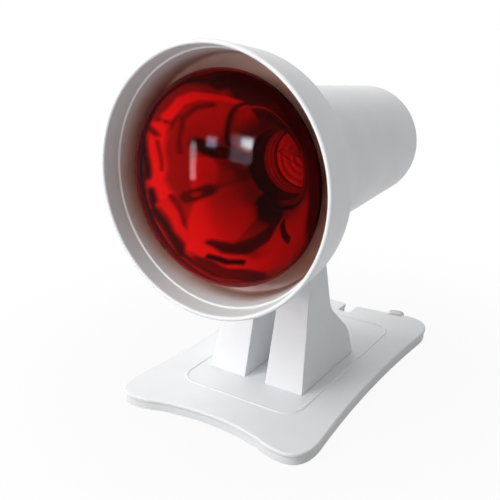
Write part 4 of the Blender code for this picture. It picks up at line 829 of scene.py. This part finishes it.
# Where the painted reflected streaks at the edge begin, and where the painted black of the neck's turn and the
# painted neck begin, in mm
STREAKS = (38, 42)
BLACK_TURN = (58.5, 62)
BRIGHT_NECK = (72.5, 74.5)
SWAY_SEED = 3


def eased(value, full, none):
    """1 at full, 0 at none, and eased between."""
    share_of = min(max((value - none) / (full - none), 0), 1)
    return share_of * share_of * (3 - 2 * share_of)


def stroke_reach(x, y, start, end):
    """How far a point is from the line between two others."""
    along_x, along_y = end[0] - start[0], end[1] - start[1]
    off_x, off_y = x - start[0], y - start[1]
    part = (off_x * along_x + off_y * along_y) / (along_x ** 2 + along_y ** 2)
    part = min(max(part, 0), 1)
    return math.hypot(off_x - part * along_x, off_y - part * along_y)


def painted_reflection_level(place):
    """How bright the painted reflections and shade in the silvering are at a place in the head's own frame,
    painted stroke by stroke.
    """
    sway = noise.noise_vector(place * 60) * WARP
    x, y = (place.x + sway.x) / MM, (place.y + sway.y) / MM
    depth = place.z / MM
    radius = math.hypot(x, y)
    level = 0.50 + 0.20 * noise.noise(place * 40 + Vector((0, 0, 5)))
    streak = 0.26 + 0.20 * math.sin(2.6 * radius + 2.0 * noise.noise(place * 60))
    level += (streak - level) * eased(radius, STREAKS[1], STREAKS[0])
    for points, width, soften, bright in PAINTED_REFLECTION_STROKES:
        reach = min(stroke_reach(x, y, start, end) for start, end in zip(points, points[1:]))
        level += (bright - level) * eased(reach, width - soften, width + FADE_SHARE * soften)
    away = math.hypot(x - NECK_CENTRE[0], y - NECK_CENTRE[1])
    for ring, width, bright in NECK_RINGS:
        level += (bright - level) * eased(abs(away - ring), 0, width)
    level += (0.02 - level) * eased(depth, BLACK_TURN[1], BLACK_TURN[0])
    neck = 0.62 + 0.22 * math.sin(1.9 * depth)
    return max(level + (neck - level) * eased(depth, BRIGHT_NECK[1], BRIGHT_NECK[0]), 0)


def paint_reflections_on_lining(lining):
    """Stores the brightness of the painted reflections and shade on the lining's own points."""
    noise.seed_set(SWAY_SEED)
    inverse = HEAD_AXIS.inverted()
    values = [painted_reflection_level(inverse @ vertex.co) for vertex in lining.data.vertices]
    lining.data.attributes.new("painted_reflection_level", "FLOAT", "POINT").data.foreach_set("value", values)


def silvering():
    look, tree, shader, where = new_look("bulb_silvering_painted_reflections")
    # The silver's colour carries the painted reflections and painted shade stored on its points
    level = step_node(tree, "ShaderNodeAttribute", attribute_name="painted_reflection_level").outputs["Fac"]
    ripple = noise_at(tree, head_place(tree, where), 55.0)
    reflection_colour = blend_colour(tree, level, (0.02, 0.01, 0.01), (0.97, 0.95, 0.93))
    wired(tree, shader, {"Base Color": reflection_colour,
                         "Roughness": ranged(tree, ripple, 0.3, 0.7, 0.34, 0.44), "Metallic": 1.0,
                         "Normal": bumped(tree, ripple, 0.12, 2.0 * MM)})
    return look


def ruby():
    look, tree, shader, where = new_look("ruby_glass")
    cords = noise_at(tree, where, 30.0)
    tint = blend_colour(tree, cords, (0.95, 0.062, 0.060), (0.90, 0.048, 0.048))
    flat = step_node(tree, "ShaderNodeVectorMath", {0: head_place(tree, where), 1: (1, 1, 0)},
                     operation="MULTIPLY").outputs[0]
    radius = step_node(tree, "ShaderNodeVectorMath", {0: flat}, operation="LENGTH").outputs["Value"]
    # Painted shade: the glass turns a darker red towards the bulb's edge
    painted_edge_shade = ranged(tree, radius, EDGE_SHADE_FROM, EDGE_SHADE_TO, kind="SMOOTHSTEP")
    wired(tree, shader, {"Base Color": blend_colour(tree, painted_edge_shade, tint, (0.58, 0.010, 0.014)),
                         "Roughness": ranged(tree, cords, 0.3, 0.7, 0.01, 0.03),
                         "Transmission Weight": 1.0, "IOR": 1.11,
                         "Normal": bumped(tree, cords, 0.05, 1.0 * MM)})
    return look


def glass(name, colour, rough):
    look, tree, shader, where = new_look(name)
    cords = noise_at(tree, where, 90.0)
    wired(tree, shader, {"Base Color": (*colour, 1), "Transmission Weight": 0.95,
                         "Roughness": ranged(tree, cords, 0.3, 0.7, rough, rough + 0.05),
                         "Normal": bumped(tree, cords, 0.05, 0.5 * MM)})
    return look


MOULDED = moulded_group()
SCUFFS = scuff_group()
COPIES = copies_tree()
PLASTICS = {
    "white_plastic": ((0.82, 0.83, 0.845), (0.79, 0.80, 0.815), 0.36),
    "grey_plastic": ((0.44, 0.45, 0.46), (0.40, 0.41, 0.42), 0.52, 0.12),
    "black_rubber": ((0.030, 0.030, 0.032), (0.045, 0.045, 0.045), 0.78, 0.3),
    "grey_rubber": ((0.76, 0.765, 0.77), (0.70, 0.705, 0.71), 0.62, 0.2),
    "white_porcelain": ((0.80, 0.79, 0.74), (0.75, 0.74, 0.69), 0.16, 0.03),
    "black_glass": ((0.02, 0.02, 0.025), (0.03, 0.03, 0.03), 0.14, 0.03),
    "brown_insulation": ((0.16, 0.06, 0.03), (0.12, 0.045, 0.025), 0.45),
    "blue_insulation": ((0.03, 0.12, 0.36), (0.025, 0.10, 0.30), 0.45),
}
METALS = {
    "zinc_steel": ((0.60, 0.61, 0.63), (0.50, 0.51, 0.53), 0.26),
    "nickel_brass": ((0.66, 0.60, 0.45), (0.56, 0.48, 0.34), 0.24),
    "bulb_cap_aluminium": ((0.74, 0.74, 0.74), (0.62, 0.62, 0.63), 0.30),
    "tungsten_wire": ((0.10, 0.095, 0.09), (0.06, 0.06, 0.055), 0.40),
}
LOOKS = {name: plastic(name, *finish) for name, finish in PLASTICS.items()}
LOOKS.update({name: metal(name, *finish) for name, finish in METALS.items()})
LOOKS["ruby_glass"] = ruby()
LOOKS["silver_mirror"] = silvering()
LOOKS["clear_glass"] = glass("clear_glass", (0.86, 0.88, 0.86), 0.03)
INSIDE_PAINTED_REFLECTION = shade_inside_with_painted_reflection()
WHITE = LOOKS["white_plastic"]

# Every CAD node that stays gets its slot's material
for part in frame["record"]["subparts"]:
    node = frame["nodes"][part["node"]]
    for material_slot in node.material_slots:
        material_slot.material = LOOKS[part["material_slot"]]


# Stand

def base_cover():
    lip_low = BASE_TOP - LIP_HEIGHT
    ring = round_rectangle(-BEAD_HALF_WIDTH, BEAD_HALF_WIDTH, -BEAD_FRONT, BEAD_BACK, BEAD_CORNER)
    level = BASE_TOP + BEAD_RISE - BEAD_RADIUS
    skirt = slab(base_outline(SKIRT_INSET), FLOOR_GAP, lip_low + LIP_HEIGHT / 2)
    bead = tube([(x, y, level) for x, y in ring], BEAD_RADIUS)
    cavity = slab(base_outline(WALL_DEPTH), -OVERRUN, COVER_UNDER)
    seats = [box((side * (INNER_FACE - SEAT_GAP), side * (ARM_OUTER + SEAT_GAP)),
                 (-ARM_FRONT - SEAT_GAP, ARM_BACK + SEAT_GAP), (BASE_TOP - ARM_SEAT, BASE_TOP + OVERRUN))
             for side in (-1, 1)]
    slope = math.atan(2 * BACK_HOLLOW * GLAND_X / BASE_BACK_HALF ** 2)
    gland_at = (Matrix.Translation((GLAND_X, rear_edge(GLAND_X), 0)) @ Matrix.Rotation(slope, 4, "Z")
                @ Matrix.Rotation(math.radians(90), 4, "X"))
    slot = put(slab(shifted(gland_outline(), -FIT), -GLAND_REACH, WALL_DEPTH + FIT), gland_at)
    top = slab(base_outline(FIT), lip_low, BASE_TOP, LIP_ROUND, 5)
    mesh = carved(carved(top, [skirt], [cavity]), [bead], [*seats, slot])
    dress("base_moulding", mesh, STAND, [WHITE], "stand", "base_cover")
    collar = slab(gland_outline(), -GLAND_REACH, WALL_DEPTH, GLAND_EDGE, 3)
    bore = slab(round_rectangle(-BORE_HALF, BORE_HALF, *BORE_ENDS, BORE_CORNER), -GLAND_REACH - OVERRUN,
                BORE_DEPTH)
    groove = carved(slab(shifted(gland_outline(), -FIT), *GLAND_GROOVE),
                    cuts=[slab(shifted(gland_outline(), FIT), -GLAND_REACH, 0)])
    dress("gland_collar", carved(collar, cuts=[bore, groove]), STAND @ gland_at, [LOOKS["grey_rubber"]],
          "stand", "cord_gland")


def gland_outline():
    return round_rectangle(-GLAND_HALF, GLAND_HALF, FLOOR_GAP, FLOOR_GAP + GLAND_HEIGHT, GLAND_CORNER)


def low_middles(nodes, level):
    """The middle of each node's box in plan, at one level."""
    places = []
    for node in nodes:
        low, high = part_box(node)
        places.append(((low[0] + high[0]) / 2, (low[1] + high[1]) / 2, level))
    return places


def foot_pads():
    profile = [(0, FOOT_CUP_DEPTH), (FOOT_CUP[0], FOOT_CUP_DEPTH), (FOOT_CUP[1], 0)]
    profile += arc((FOOT_RADIUS - FOOT_EDGE, FOOT_EDGE), FOOT_EDGE, -90, 0, 4)
    profile += [(FOOT_RADIUS, FOOT_HEIGHT), (0, FOOT_HEIGHT)]
    nodes = [f"foot_pad_{k}" for k in range(1, 5)]
    mesh = on_points(lathe(profile, 48), low_middles(nodes, 0), (0, 0, 0), LOOKS["black_rubber"])
    dress("rubber_feet", mesh, Matrix(), [LOOKS["black_rubber"]], "stand", *nodes)


def cross_screw(flat, head_height, length):
    """A screw with a cross recess, along +Z, its head's seat or top at the origin."""
    if flat:
        profile = [(0, 0), (SCREW_HEAD_RADIUS - SCREW_EDGE, 0)]
        profile += [(SCREW_HEAD_RADIUS, SCREW_EDGE), (SCREW_RADIUS, head_height)]
        top = 0
    else:
        top = -head_height
        middle = (SCREW_HEAD_RADIUS - PAN_ROUND, PAN_ROUND + top)
        profile = [(0, top), *arc(middle, PAN_ROUND, -90, 0, 5), (SCREW_HEAD_RADIUS, 0), (SCREW_RADIUS, 0)]
    profile += [(SCREW_RADIUS, length - SCREW_TIP[1]), (SCREW_TIP[0], length), (0, length)]
    reach = (-SCREW_HEAD_RADIUS * CROSS_SHARE, SCREW_HEAD_RADIUS * CROSS_SHARE)
    blade = (-CROSS_HALF, CROSS_HALF)
    sink = (top - OVERRUN, top + CROSS_DEPTH)
    return carved(lathe(profile, 40), cuts=[box(reach, blade, sink), box(blade, reach, sink)])


def screws():
    steel = LOOKS["zinc_steel"]
    flat = cross_screw(True, FLAT_HEAD, FLAT_LENGTH)
    nodes = [f"base_screw_{k}" for k in range(1, 5)]
    places = low_middles(nodes, FLOOR_GAP + FIT)
    dress("plate_screws", on_points(flat, places, (0, 0, 0), steel), Matrix(), [steel], "stand", *nodes)
    pan = cross_screw(False, PAN_HEAD, PAN_LENGTH)
    seat = COVER_SEAT + 2 * FIT + COVER_THICK
    places = [(0, side * COVER_SCREW_REACH, seat) for side in (-1, 1)]
    dress("vent_screws", on_points(pan, places, (math.pi, 0, 0), steel), HEAD_AXIS, [steel], "head",
          "cover_screw_1", "cover_screw_2")


def arm(name, node, side):
    outline = arm_outline()
    mesh = slab(outline, INNER_FACE, ARM_OUTER, ARM_EDGE, 3)
    for vertex in mesh.vertices:
        if vertex.co.z > (INNER_FACE + ARM_OUTER) / 2:
            vertex.co.z -= ARM_LEAN_SHARE * vertex.co.y
        vertex.co.z *= side
    if side < 0:
        mesh.flip_normals()
    mesh.transform(Matrix.Translation((0, 0, ARM_FLOOR)) @ SIDEWAYS)
    outer = ARM_OUTER - ARM_LEAN_SHARE * PIVOT_HEIGHT
    across = (Matrix.Translation((0, -PIVOT_AHEAD, BASE_TOP + PIVOT_HEIGHT))
              @ Matrix.Rotation(math.pi / 2, 4, "Y"))
    if side < 0:
        well = rod(BOLT_HEAD_RADIUS + BOLT_ROOM, -outer - BOLT_SINK, BOLT_SINK - outer)
        way = rod(BOLT_RADIUS + FIT, -outer, OVERRUN - INNER_FACE)
        cuts = [put(well, across), put(way, across)]
    else:
        cuts = [put(rod(TUBE_RADIUS + FIT, INNER_FACE - OVERRUN, INNER_FACE + TUBE_SEAT), across)]
    dress(name, carved(mesh, cuts=cuts), STAND, [WHITE], "stand", node)


# Head

def lug():
    low = HEAD_RISE - can_radius(MOUTH_AHEAD) - LUG_TOP_DEPTH
    high = low + LUG_TOP_DEPTH + CAN_WALL
    corner = Vector((LUG_TOP_HALF, low))
    tangent = math.degrees(math.atan2(corner.y, corner.x) - math.acos(LUG_RADIUS / corner.length))
    outline = [(LUG_TOP_HALF, low), (LUG_TOP_HALF, high), (-LUG_TOP_HALF, high), (-LUG_TOP_HALF, low)]
    outline += arc((0, 0), LUG_RADIUS, -180 - tangent, tangent, 20)
    mesh = slab(outline, -LUG_HALF, LUG_HALF, LUG_EDGE, 3)
    mesh.transform(SIDEWAYS)
    start = MOUTH_AHEAD - 2 * LUG_TOP_HALF
    end = MOUTH_AHEAD + 2 * LUG_TOP_HALF
    saddle = lathe([(0, start), (can_radius(start) + FIT, start), (can_radius(end) + FIT, end),
                    (0, end)], 96)
    saddle.transform(HEAD.inverted() @ HEAD_AXIS)
    way = rod(TUBE_RADIUS + FIT, -2 * LUG_HALF, 2 * LUG_HALF)
    way.transform(Matrix.Rotation(math.pi / 2, 4, "Y"))
    dress("lug_moulding", carved(mesh, cuts=[saddle, way]), HEAD, [WHITE], "head", "tilt_lug")


def shade():
    rim = RIM_THICK / 2
    hole = CAN_RADIUS - CAN_WALL + SPIGOT_THICK + FIT
    lean = math.degrees(math.atan2(SHADE_BACK_RADIUS - CAN_RADIUS, SHOULDER_DEPTH - SHADE_BACK))
    inner_back = SHADE_BACK - SHADE_WALL - SHADE_EDGE
    inner_radius = SHADE_BACK_RADIUS - SHADE_WALL - SHADE_EDGE
    step = SHADE_RADIUS - RIM_THICK - STEP_HEIGHT
    profile = arc((SHADE_RADIUS - rim, rim), rim, 180, 360, 14)
    profile += arc((SHADE_BACK_RADIUS - SHADE_EDGE, SHADE_BACK - SHADE_EDGE), SHADE_EDGE, 0, lean, 8)
    profile += [(CAN_RADIUS + FIT, SHOULDER_DEPTH - FIT / 3), (CAN_RADIUS, SHOULDER_DEPTH),
                (hole, SHOULDER_DEPTH), (hole, SHOULDER_DEPTH - SHADE_WALL)]
    inside = len(profile) - 1
    profile += arc((inner_radius, inner_back), SHADE_EDGE, lean, 0, 8)
    profile += [(step - STEP_HEIGHT, STEP_DEPTH + STEP_HEIGHT / 2 + SOFT_CORNER),
                (step - STEP_HEIGHT + 0.8 * SOFT_CORNER, STEP_DEPTH + STEP_HEIGHT / 2),
                (step - SOFT_CORNER, STEP_DEPTH + SOFT_CORNER / 3), (step, STEP_DEPTH - SOFT_CORNER)]
    # The inside of the shade carries the painted red reflection and painted shade
    dress("shade_moulding", lathe(profile, 192, inside), HEAD_AXIS, [WHITE, INSIDE_PAINTED_REFLECTION], "head", "shade")


def can():
    front = can_radius(CAN_START) - CAN_WALL
    back = can_radius(CAN_END) - CAN_WALL
    opening = COVER_RADIUS + FIT
    ledge = opening - COVER_LEDGE
    shelf = COVER_SEAT - LEDGE_THICK
    spigot = CAN_START - SPIGOT_LENGTH
    profile = [(CAN_RADIUS - SOFT_CORNER, CAN_START), (CAN_RADIUS, CAN_START + SOFT_CORNER)]
    profile += arc((CAN_END_RADIUS - CAN_EDGE, CAN_END - CAN_EDGE), CAN_EDGE, 0, 90, 16)
    profile += [(opening + COVER_CHAMFER, CAN_END), (opening, CAN_END - COVER_CHAMFER),
                (opening, COVER_SEAT), (ledge, COVER_SEAT), (ledge, shelf), (back - LEDGE_THICK, shelf),
                (back, shelf - LEDGE_THICK), (front, CAN_START), (front, spigot),
                (front + SPIGOT_THICK, spigot), (front + SPIGOT_THICK, CAN_START)]
    forms = []
    for side in (-1, 1):
        forms.append(box((side * POST_REACH, side * (can_radius(POST_ENDS[1]) - POST_SINK)),
                         (-POST_HALF, POST_HALF), POST_ENDS))
        forms.append(box((-BOSS_HALF, BOSS_HALF), (side * BOSS_REACH, side * (back + BOSS_SINK)),
                         (COVER_SEAT - BOSS_LENGTH, COVER_SEAT - FIT)))
    dress("can_moulding", carved(lathe(profile, 160), joins=forms), HEAD_AXIS, [WHITE], "head",
          "rear_can")


def vent_cover():
    start = COVER_SEAT + FIT
    end = start + COVER_THICK
    profile = [(0, start), (COVER_RADIUS, start)]
    profile += arc((COVER_RADIUS - COVER_EDGE, end - COVER_EDGE), COVER_EDGE, 0, 90, 5)
    profile += [(0, end)]
    slots = grown(slot_row_tree(), {
        "Count": SLOT_COUNT, "Pitch": SLOT_PITCH, "Cover Radius": COVER_RADIUS, "Margin": SLOT_MARGIN,
        "Width": SLOT_WIDTH, "Depth": SLOT_CUT, "Material": WHITE})
    slots.transform(Matrix.Translation((0, 0, start + COVER_THICK / 2)))
    bore = rod(COVER_BORE, start - OVERRUN, end + OVERRUN, 24)
    bores = [put(bore, Matrix.Translation((0, side * COVER_SCREW_REACH, 0))) for side in (-1, 1)]
    dress("vent_plate", carved(lathe(profile, 128), cuts=[slots, *bores]), HEAD_AXIS, [WHITE], "head",
          "rear_cover")


# Bulb

def glass_outline(steps):
    centre = (BULB_RADIUS - BULB_SHOULDER, BULB_WIDEST)
    rise = BULB_WIDEST - BULB_FACE
    face = (centre[0] ** 2 + rise ** 2 - BULB_SHOULDER ** 2) / (2 * (rise - BULB_SHOULDER))
    lean = math.degrees(math.asin(centre[0] / (face - BULB_SHOULDER)))
    out = arc((0, BULB_FACE + face), face, -90, lean - 90, 20)
    out[0] = (0, out[0][1])
    out += arc(centre, BULB_SHOULDER, lean - 90, 0, 16)[1:]
    out += bezier([(BULB_RADIUS, BULB_WIDEST), BOWL_START, BOWL_TURN,
                   (NECK_RADIUS, NECK_START)], steps)[1:]
    return out + [COLLAR, (NECK_END_RADIUS, CAP_START - OVERRUN), (NECK_END_RADIUS, GLASS_END)]


def thinned(line):
    """The face's points as they are, and every fourth point of the bowl."""
    return line[:FACE_POINTS] + line[FACE_POINTS:-3:4] + line[-3:]


def lining_line(outer, depth_in, first):
    """One side of the lining: along the bowl, then down the neck to just before the heat disc."""
    line = shifted(outer, depth_in, closed=False)
    start, end = Vector(line[-4]), Vector(line[-3])
    part = (DISC_DEPTH - FIT - start.y) / (end.y - start.y)
    return line[first:-3] + [tuple(start.lerp(end, part * k / 16)) for k in range(1, 17)]


def bulb():
    outer = glass_outline(180)
    inner = shifted(outer, GLASS_WALL, closed=False)
    inner[0] = (0, outer[0][1] + GLASS_WALL)
    envelope = lathe(thinned(outer) + thinned(inner)[::-1], 160)
    dress("bulb_envelope", envelope, HEAD_AXIS, [LOOKS["ruby_glass"]], "bulb", "bulb_glass")
    first = next(k for k, point in enumerate(outer) if point[1] > BULB_WIDEST + GLASS_WALL)
    near = lining_line(outer, GLASS_WALL + FIT, first)
    far = lining_line(outer, GLASS_WALL + FIT + MIRROR_THICK, first)
    near = near[:-1:6] + near[-1:]
    lining = dress("bulb_lining", lathe(near + far[::-1], 336), HEAD_AXIS, [LOOKS["silver_mirror"]],
                   "bulb", "bulb_mirror")
    paint_reflections_on_lining(lining)


def bulb_cap():
    """The screw cap with its rolled thread."""
    steps = 64
    rows = 60
    root = CAP_RADIUS - THREAD_DEPTH
    inner = root - CAP_WALL
    start = CAP_END - THREAD_COUNT * THREAD_PITCH
    bm = bmesh.new()
    rings = []
    for row in range(rows + 1):
        depth = start + (CAP_END - start) * row / rows
        fade = min(1, row / 4, (rows - row) / 4)
        ring = []
        for k in range(steps):
            turn = k / steps
            wave = 0.5 + 0.5 * math.cos(math.tau * ((depth - start) / THREAD_PITCH - turn))
            radius = root + THREAD_DEPTH * wave * fade
            ring.append(bm.verts.new((radius * math.cos(math.tau * turn),
                                      radius * math.sin(math.tau * turn), depth)))
        rings.append(ring)
    for radius, depth in ((inner, CAP_END), (inner, CAP_START), (CAP_RADIUS, CAP_START),
                          (CAP_RADIUS, start - THREAD_DEPTH)):
        rings.append(ring_of(bm, radius, depth, steps))
    for first, second in zip(rings, rings[1:] + rings[:1]):
        for k in range(steps):
            after = (k + 1) % steps
            bm.faces.new((first[k], first[after], second[after], second[k]))
    bmesh.ops.recalc_face_normals(bm, faces=bm.faces)
    dress("threaded_cap", mesh_from(bm), HEAD_AXIS, [LOOKS["bulb_cap_aluminium"]], "bulb", "bulb_cap")


def inner_bulb():
    """The filament's coil, and the heat disc with its pressed rings."""
    wire = LOOKS["tungsten_wire"]
    coil = grown(coil_tree(), {
        "Start": (-POST_SPREAD, 0, FILAMENT_DEPTH), "Middle": (0, 0, FILAMENT_DEPTH - 2 * FILAMENT_BOW),
        "End": (POST_SPREAD, 0, FILAMENT_DEPTH), "Turns": COIL_TURNS, "Coil Radius": COIL_RADIUS,
        "Wire Radius": WIRE_RADIUS, "Material": wire})
    dress("coiled_filament", coil, BULB, [wire], "bulb", "filament")
    low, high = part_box("heat_disc")
    radius = (high[0] - low[0]) / 2
    front = []
    for k in range(DISC_STEPS + 1):
        across = radius * k / DISC_STEPS
        wave = 0.5 - 0.5 * math.cos(math.tau * DISC_RINGS * k / DISC_STEPS)
        front.append((across, DISC_DEPTH + (DISC_THICK - DISC_SKIN) * wave))
    back = [(across, depth + DISC_SKIN) for across, depth in reversed(front)]
    hole = rod(POST_RADIUS + FIT, DISC_DEPTH - OVERRUN, DISC_DEPTH + OVERRUN, 24)
    holes = [put(hole, Matrix.Translation((side * POST_APART, 0, 0))) for side in (-1, 1)]
    dress("pressed_disc", carved(lathe(front + back, 96), cuts=holes), BULB,
          [LOOKS["bulb_cap_aluminium"]], "bulb", "heat_disc")


base_cover()
foot_pads()
screws()
arm("left_arm_moulding", "left_arm", -1)
arm("right_arm_moulding", "right_arm", 1)
lug()
shade()
can()
vent_cover()
bulb()
bulb_cap()
inner_bulb()


# Studio

CAMERA_AIM = (-25.06 * MM, 0, 62.4 * MM)      # from the middle of the stand
CAMERA_AZIMUTH = math.radians(33.38)
CAMERA_ELEVATION = math.radians(20.36)
CAMERA_REACH = 0.4111
SENSOR_WIDTH = 36
FOCAL_SHARE = 763.95 / 500
LAMP_AIM = Vector((0, -0.02, 0.10))
WHITE_LIGHT = (1, 1, 1)

# Name, place, size, power and colour, and if gloss mirrors the lamp, which then lights nothing matt
LAMPS = (
    ("key", (-0.55, -0.86, 0.68), (0.85, 0.85), 11.8, WHITE_LIGHT, False),
    ("back", (-0.50, 0.62, 0.80), (0.85, 0.85), 4.2, WHITE_LIGHT, False),
    ("window_pane", (-0.396, -1.092, 0.196), (0.076, 0.058), 2.6, (1, 0.95, 0.97), True),
    ("window_frame", (-0.449, -1.127, 0.160), (0.160, 0.170), 1.9, (1, 0.62, 0.72), True),
    ("second_pane", (-0.613, -0.988, 0.165), (0.073, 0.067), 0.75, (0.72, 0.66, 1), True),
    ("strip", (-0.395, -0.533, 0.081), (0.028, 0.120), 0.42, (1, 0.84, 0.90), True),
)
WORLD_LIGHT = 0.42
FLOOR_HALF = 8
FLOOR_THICK = 0.02
# The floor's colour is darker grey near the lamp, a painted contact shadow
PAINTED_FLOOR_SHADOW_REACH = (0.07, 0.20)       # distances over which the floor goes from grey to pale
PAINTED_FLOOR_SHADOW_GREY = (0.36, 0.36, 0.36)
FLOOR_PALE = (0.70, 0.70, 0.70)
FLOOR_GLOW = (0.08, 0.24)        # distances over which its shadow fades out
GLOW_SHARE = 0.94


def soft_box(name, place, size, power, colour, mirrored):
    """A lamp as a flat panel that faces the head."""
    lamp = bpy.data.lights.new(name, "AREA")
    lamp.shape = "RECTANGLE"
    lamp.size, lamp.size_y = size
    lamp.energy = power
    lamp.color = colour
    thing = bpy.data.objects.new(name, lamp)
    bpy.context.scene.collection.objects.link(thing)
    thing.location = place
    thing.rotation_euler = (LAMP_AIM - Vector(place)).to_track_quat("-Z", "Y").to_euler()
    thing.visible_camera = False
    thing.visible_glossy = mirrored
    thing.visible_diffuse = not mirrored
    thing.visible_transmission = False


def seen_plainly(tree):
    """1 on rays from the camera, from gloss and through glass, and 0 on the rest."""
    rays = step_node(tree, "ShaderNodeLightPath").outputs
    direct = math_node(tree, "MAXIMUM", rays["Is Camera Ray"], rays["Is Glossy Ray"])
    return math_node(tree, "MAXIMUM", direct, rays["Is Transmission Ray"])


def set_camera(scene):
    target = STAND.translation + Vector(CAMERA_AIM)
    level = math.cos(CAMERA_ELEVATION)
    away = Vector((math.sin(CAMERA_AZIMUTH) * level, -math.cos(CAMERA_AZIMUTH) * level,
                   math.sin(CAMERA_ELEVATION)))
    camera = bpy.data.objects.new("camera", bpy.data.cameras.new("camera"))
    scene.collection.objects.link(camera)
    camera.data.lens = SENSOR_WIDTH * FOCAL_SHARE
    camera.data.clip_start = 0.01
    camera.data.clip_end = 50
    camera.location = target + away * CAMERA_REACH
    camera.rotation_euler = (target - camera.location).to_track_quat("-Z", "Y").to_euler()
    scene.camera = camera


def set_world(scene):
    """White to the camera, and dimmer as a light on matt things."""
    world = bpy.data.worlds.new("studio")
    scene.world = world
    world.use_nodes = True
    tree = world.node_tree
    strength = ranged(tree, seen_plainly(tree), 0.0, 1.0, WORLD_LIGHT, 1.0)
    wired(tree, tree.nodes["Background"], {"Color": (1, 1, 1, 1), "Strength": strength})


def lay_floor(scene):
    """A pale floor that keeps the lamp's shadow, has a painted contact shadow of darker grey near the lamp, and
    fades to white away from it.
    """
    mesh = box((-FLOOR_HALF, FLOOR_HALF), (-FLOOR_HALF, FLOOR_HALF), (-FLOOR_THICK, 0))
    floor = bpy.data.objects.new("floor", mesh)
    scene.collection.objects.link(floor)
    look, tree, shader, where = new_look("pale_floor")
    glow = step_node(tree, "ShaderNodeEmission", {"Color": (1, 1, 1, 1), "Strength": 1.0}).outputs[0]
    distance = step_node(tree, "ShaderNodeVectorMath", {0: where}, operation="LENGTH").outputs["Value"]
    # Painted contact shadow: the floor's colour is darker grey near the lamp
    pale = ranged(tree, distance, *PAINTED_FLOOR_SHADOW_REACH)
    wired(tree, shader, {"Base Color": blend_colour(tree, pale, PAINTED_FLOOR_SHADOW_GREY, FLOOR_PALE),
                         "Roughness": 0.9, "Specular IOR Level": 0.0})
    fade = ranged(tree, distance, *FLOOR_GLOW, GLOW_SHARE, 1.0, "SMOOTHSTEP")
    seen = math_node(tree, "MULTIPLY", seen_plainly(tree), fade)
    mix = step_node(tree, "ShaderNodeMixShader", {0: seen, 1: shader.outputs[0], 2: glow})
    wired(tree, tree.nodes["Material Output"], {"Surface": mix.outputs[0]})
    mesh.materials.append(look)


stage = bpy.context.scene
stage.view_settings.view_transform = "Standard"
set_camera(stage)
for lamp_row in LAMPS:
    soft_box(*lamp_row)
set_world(stage)
lay_floor(stage)
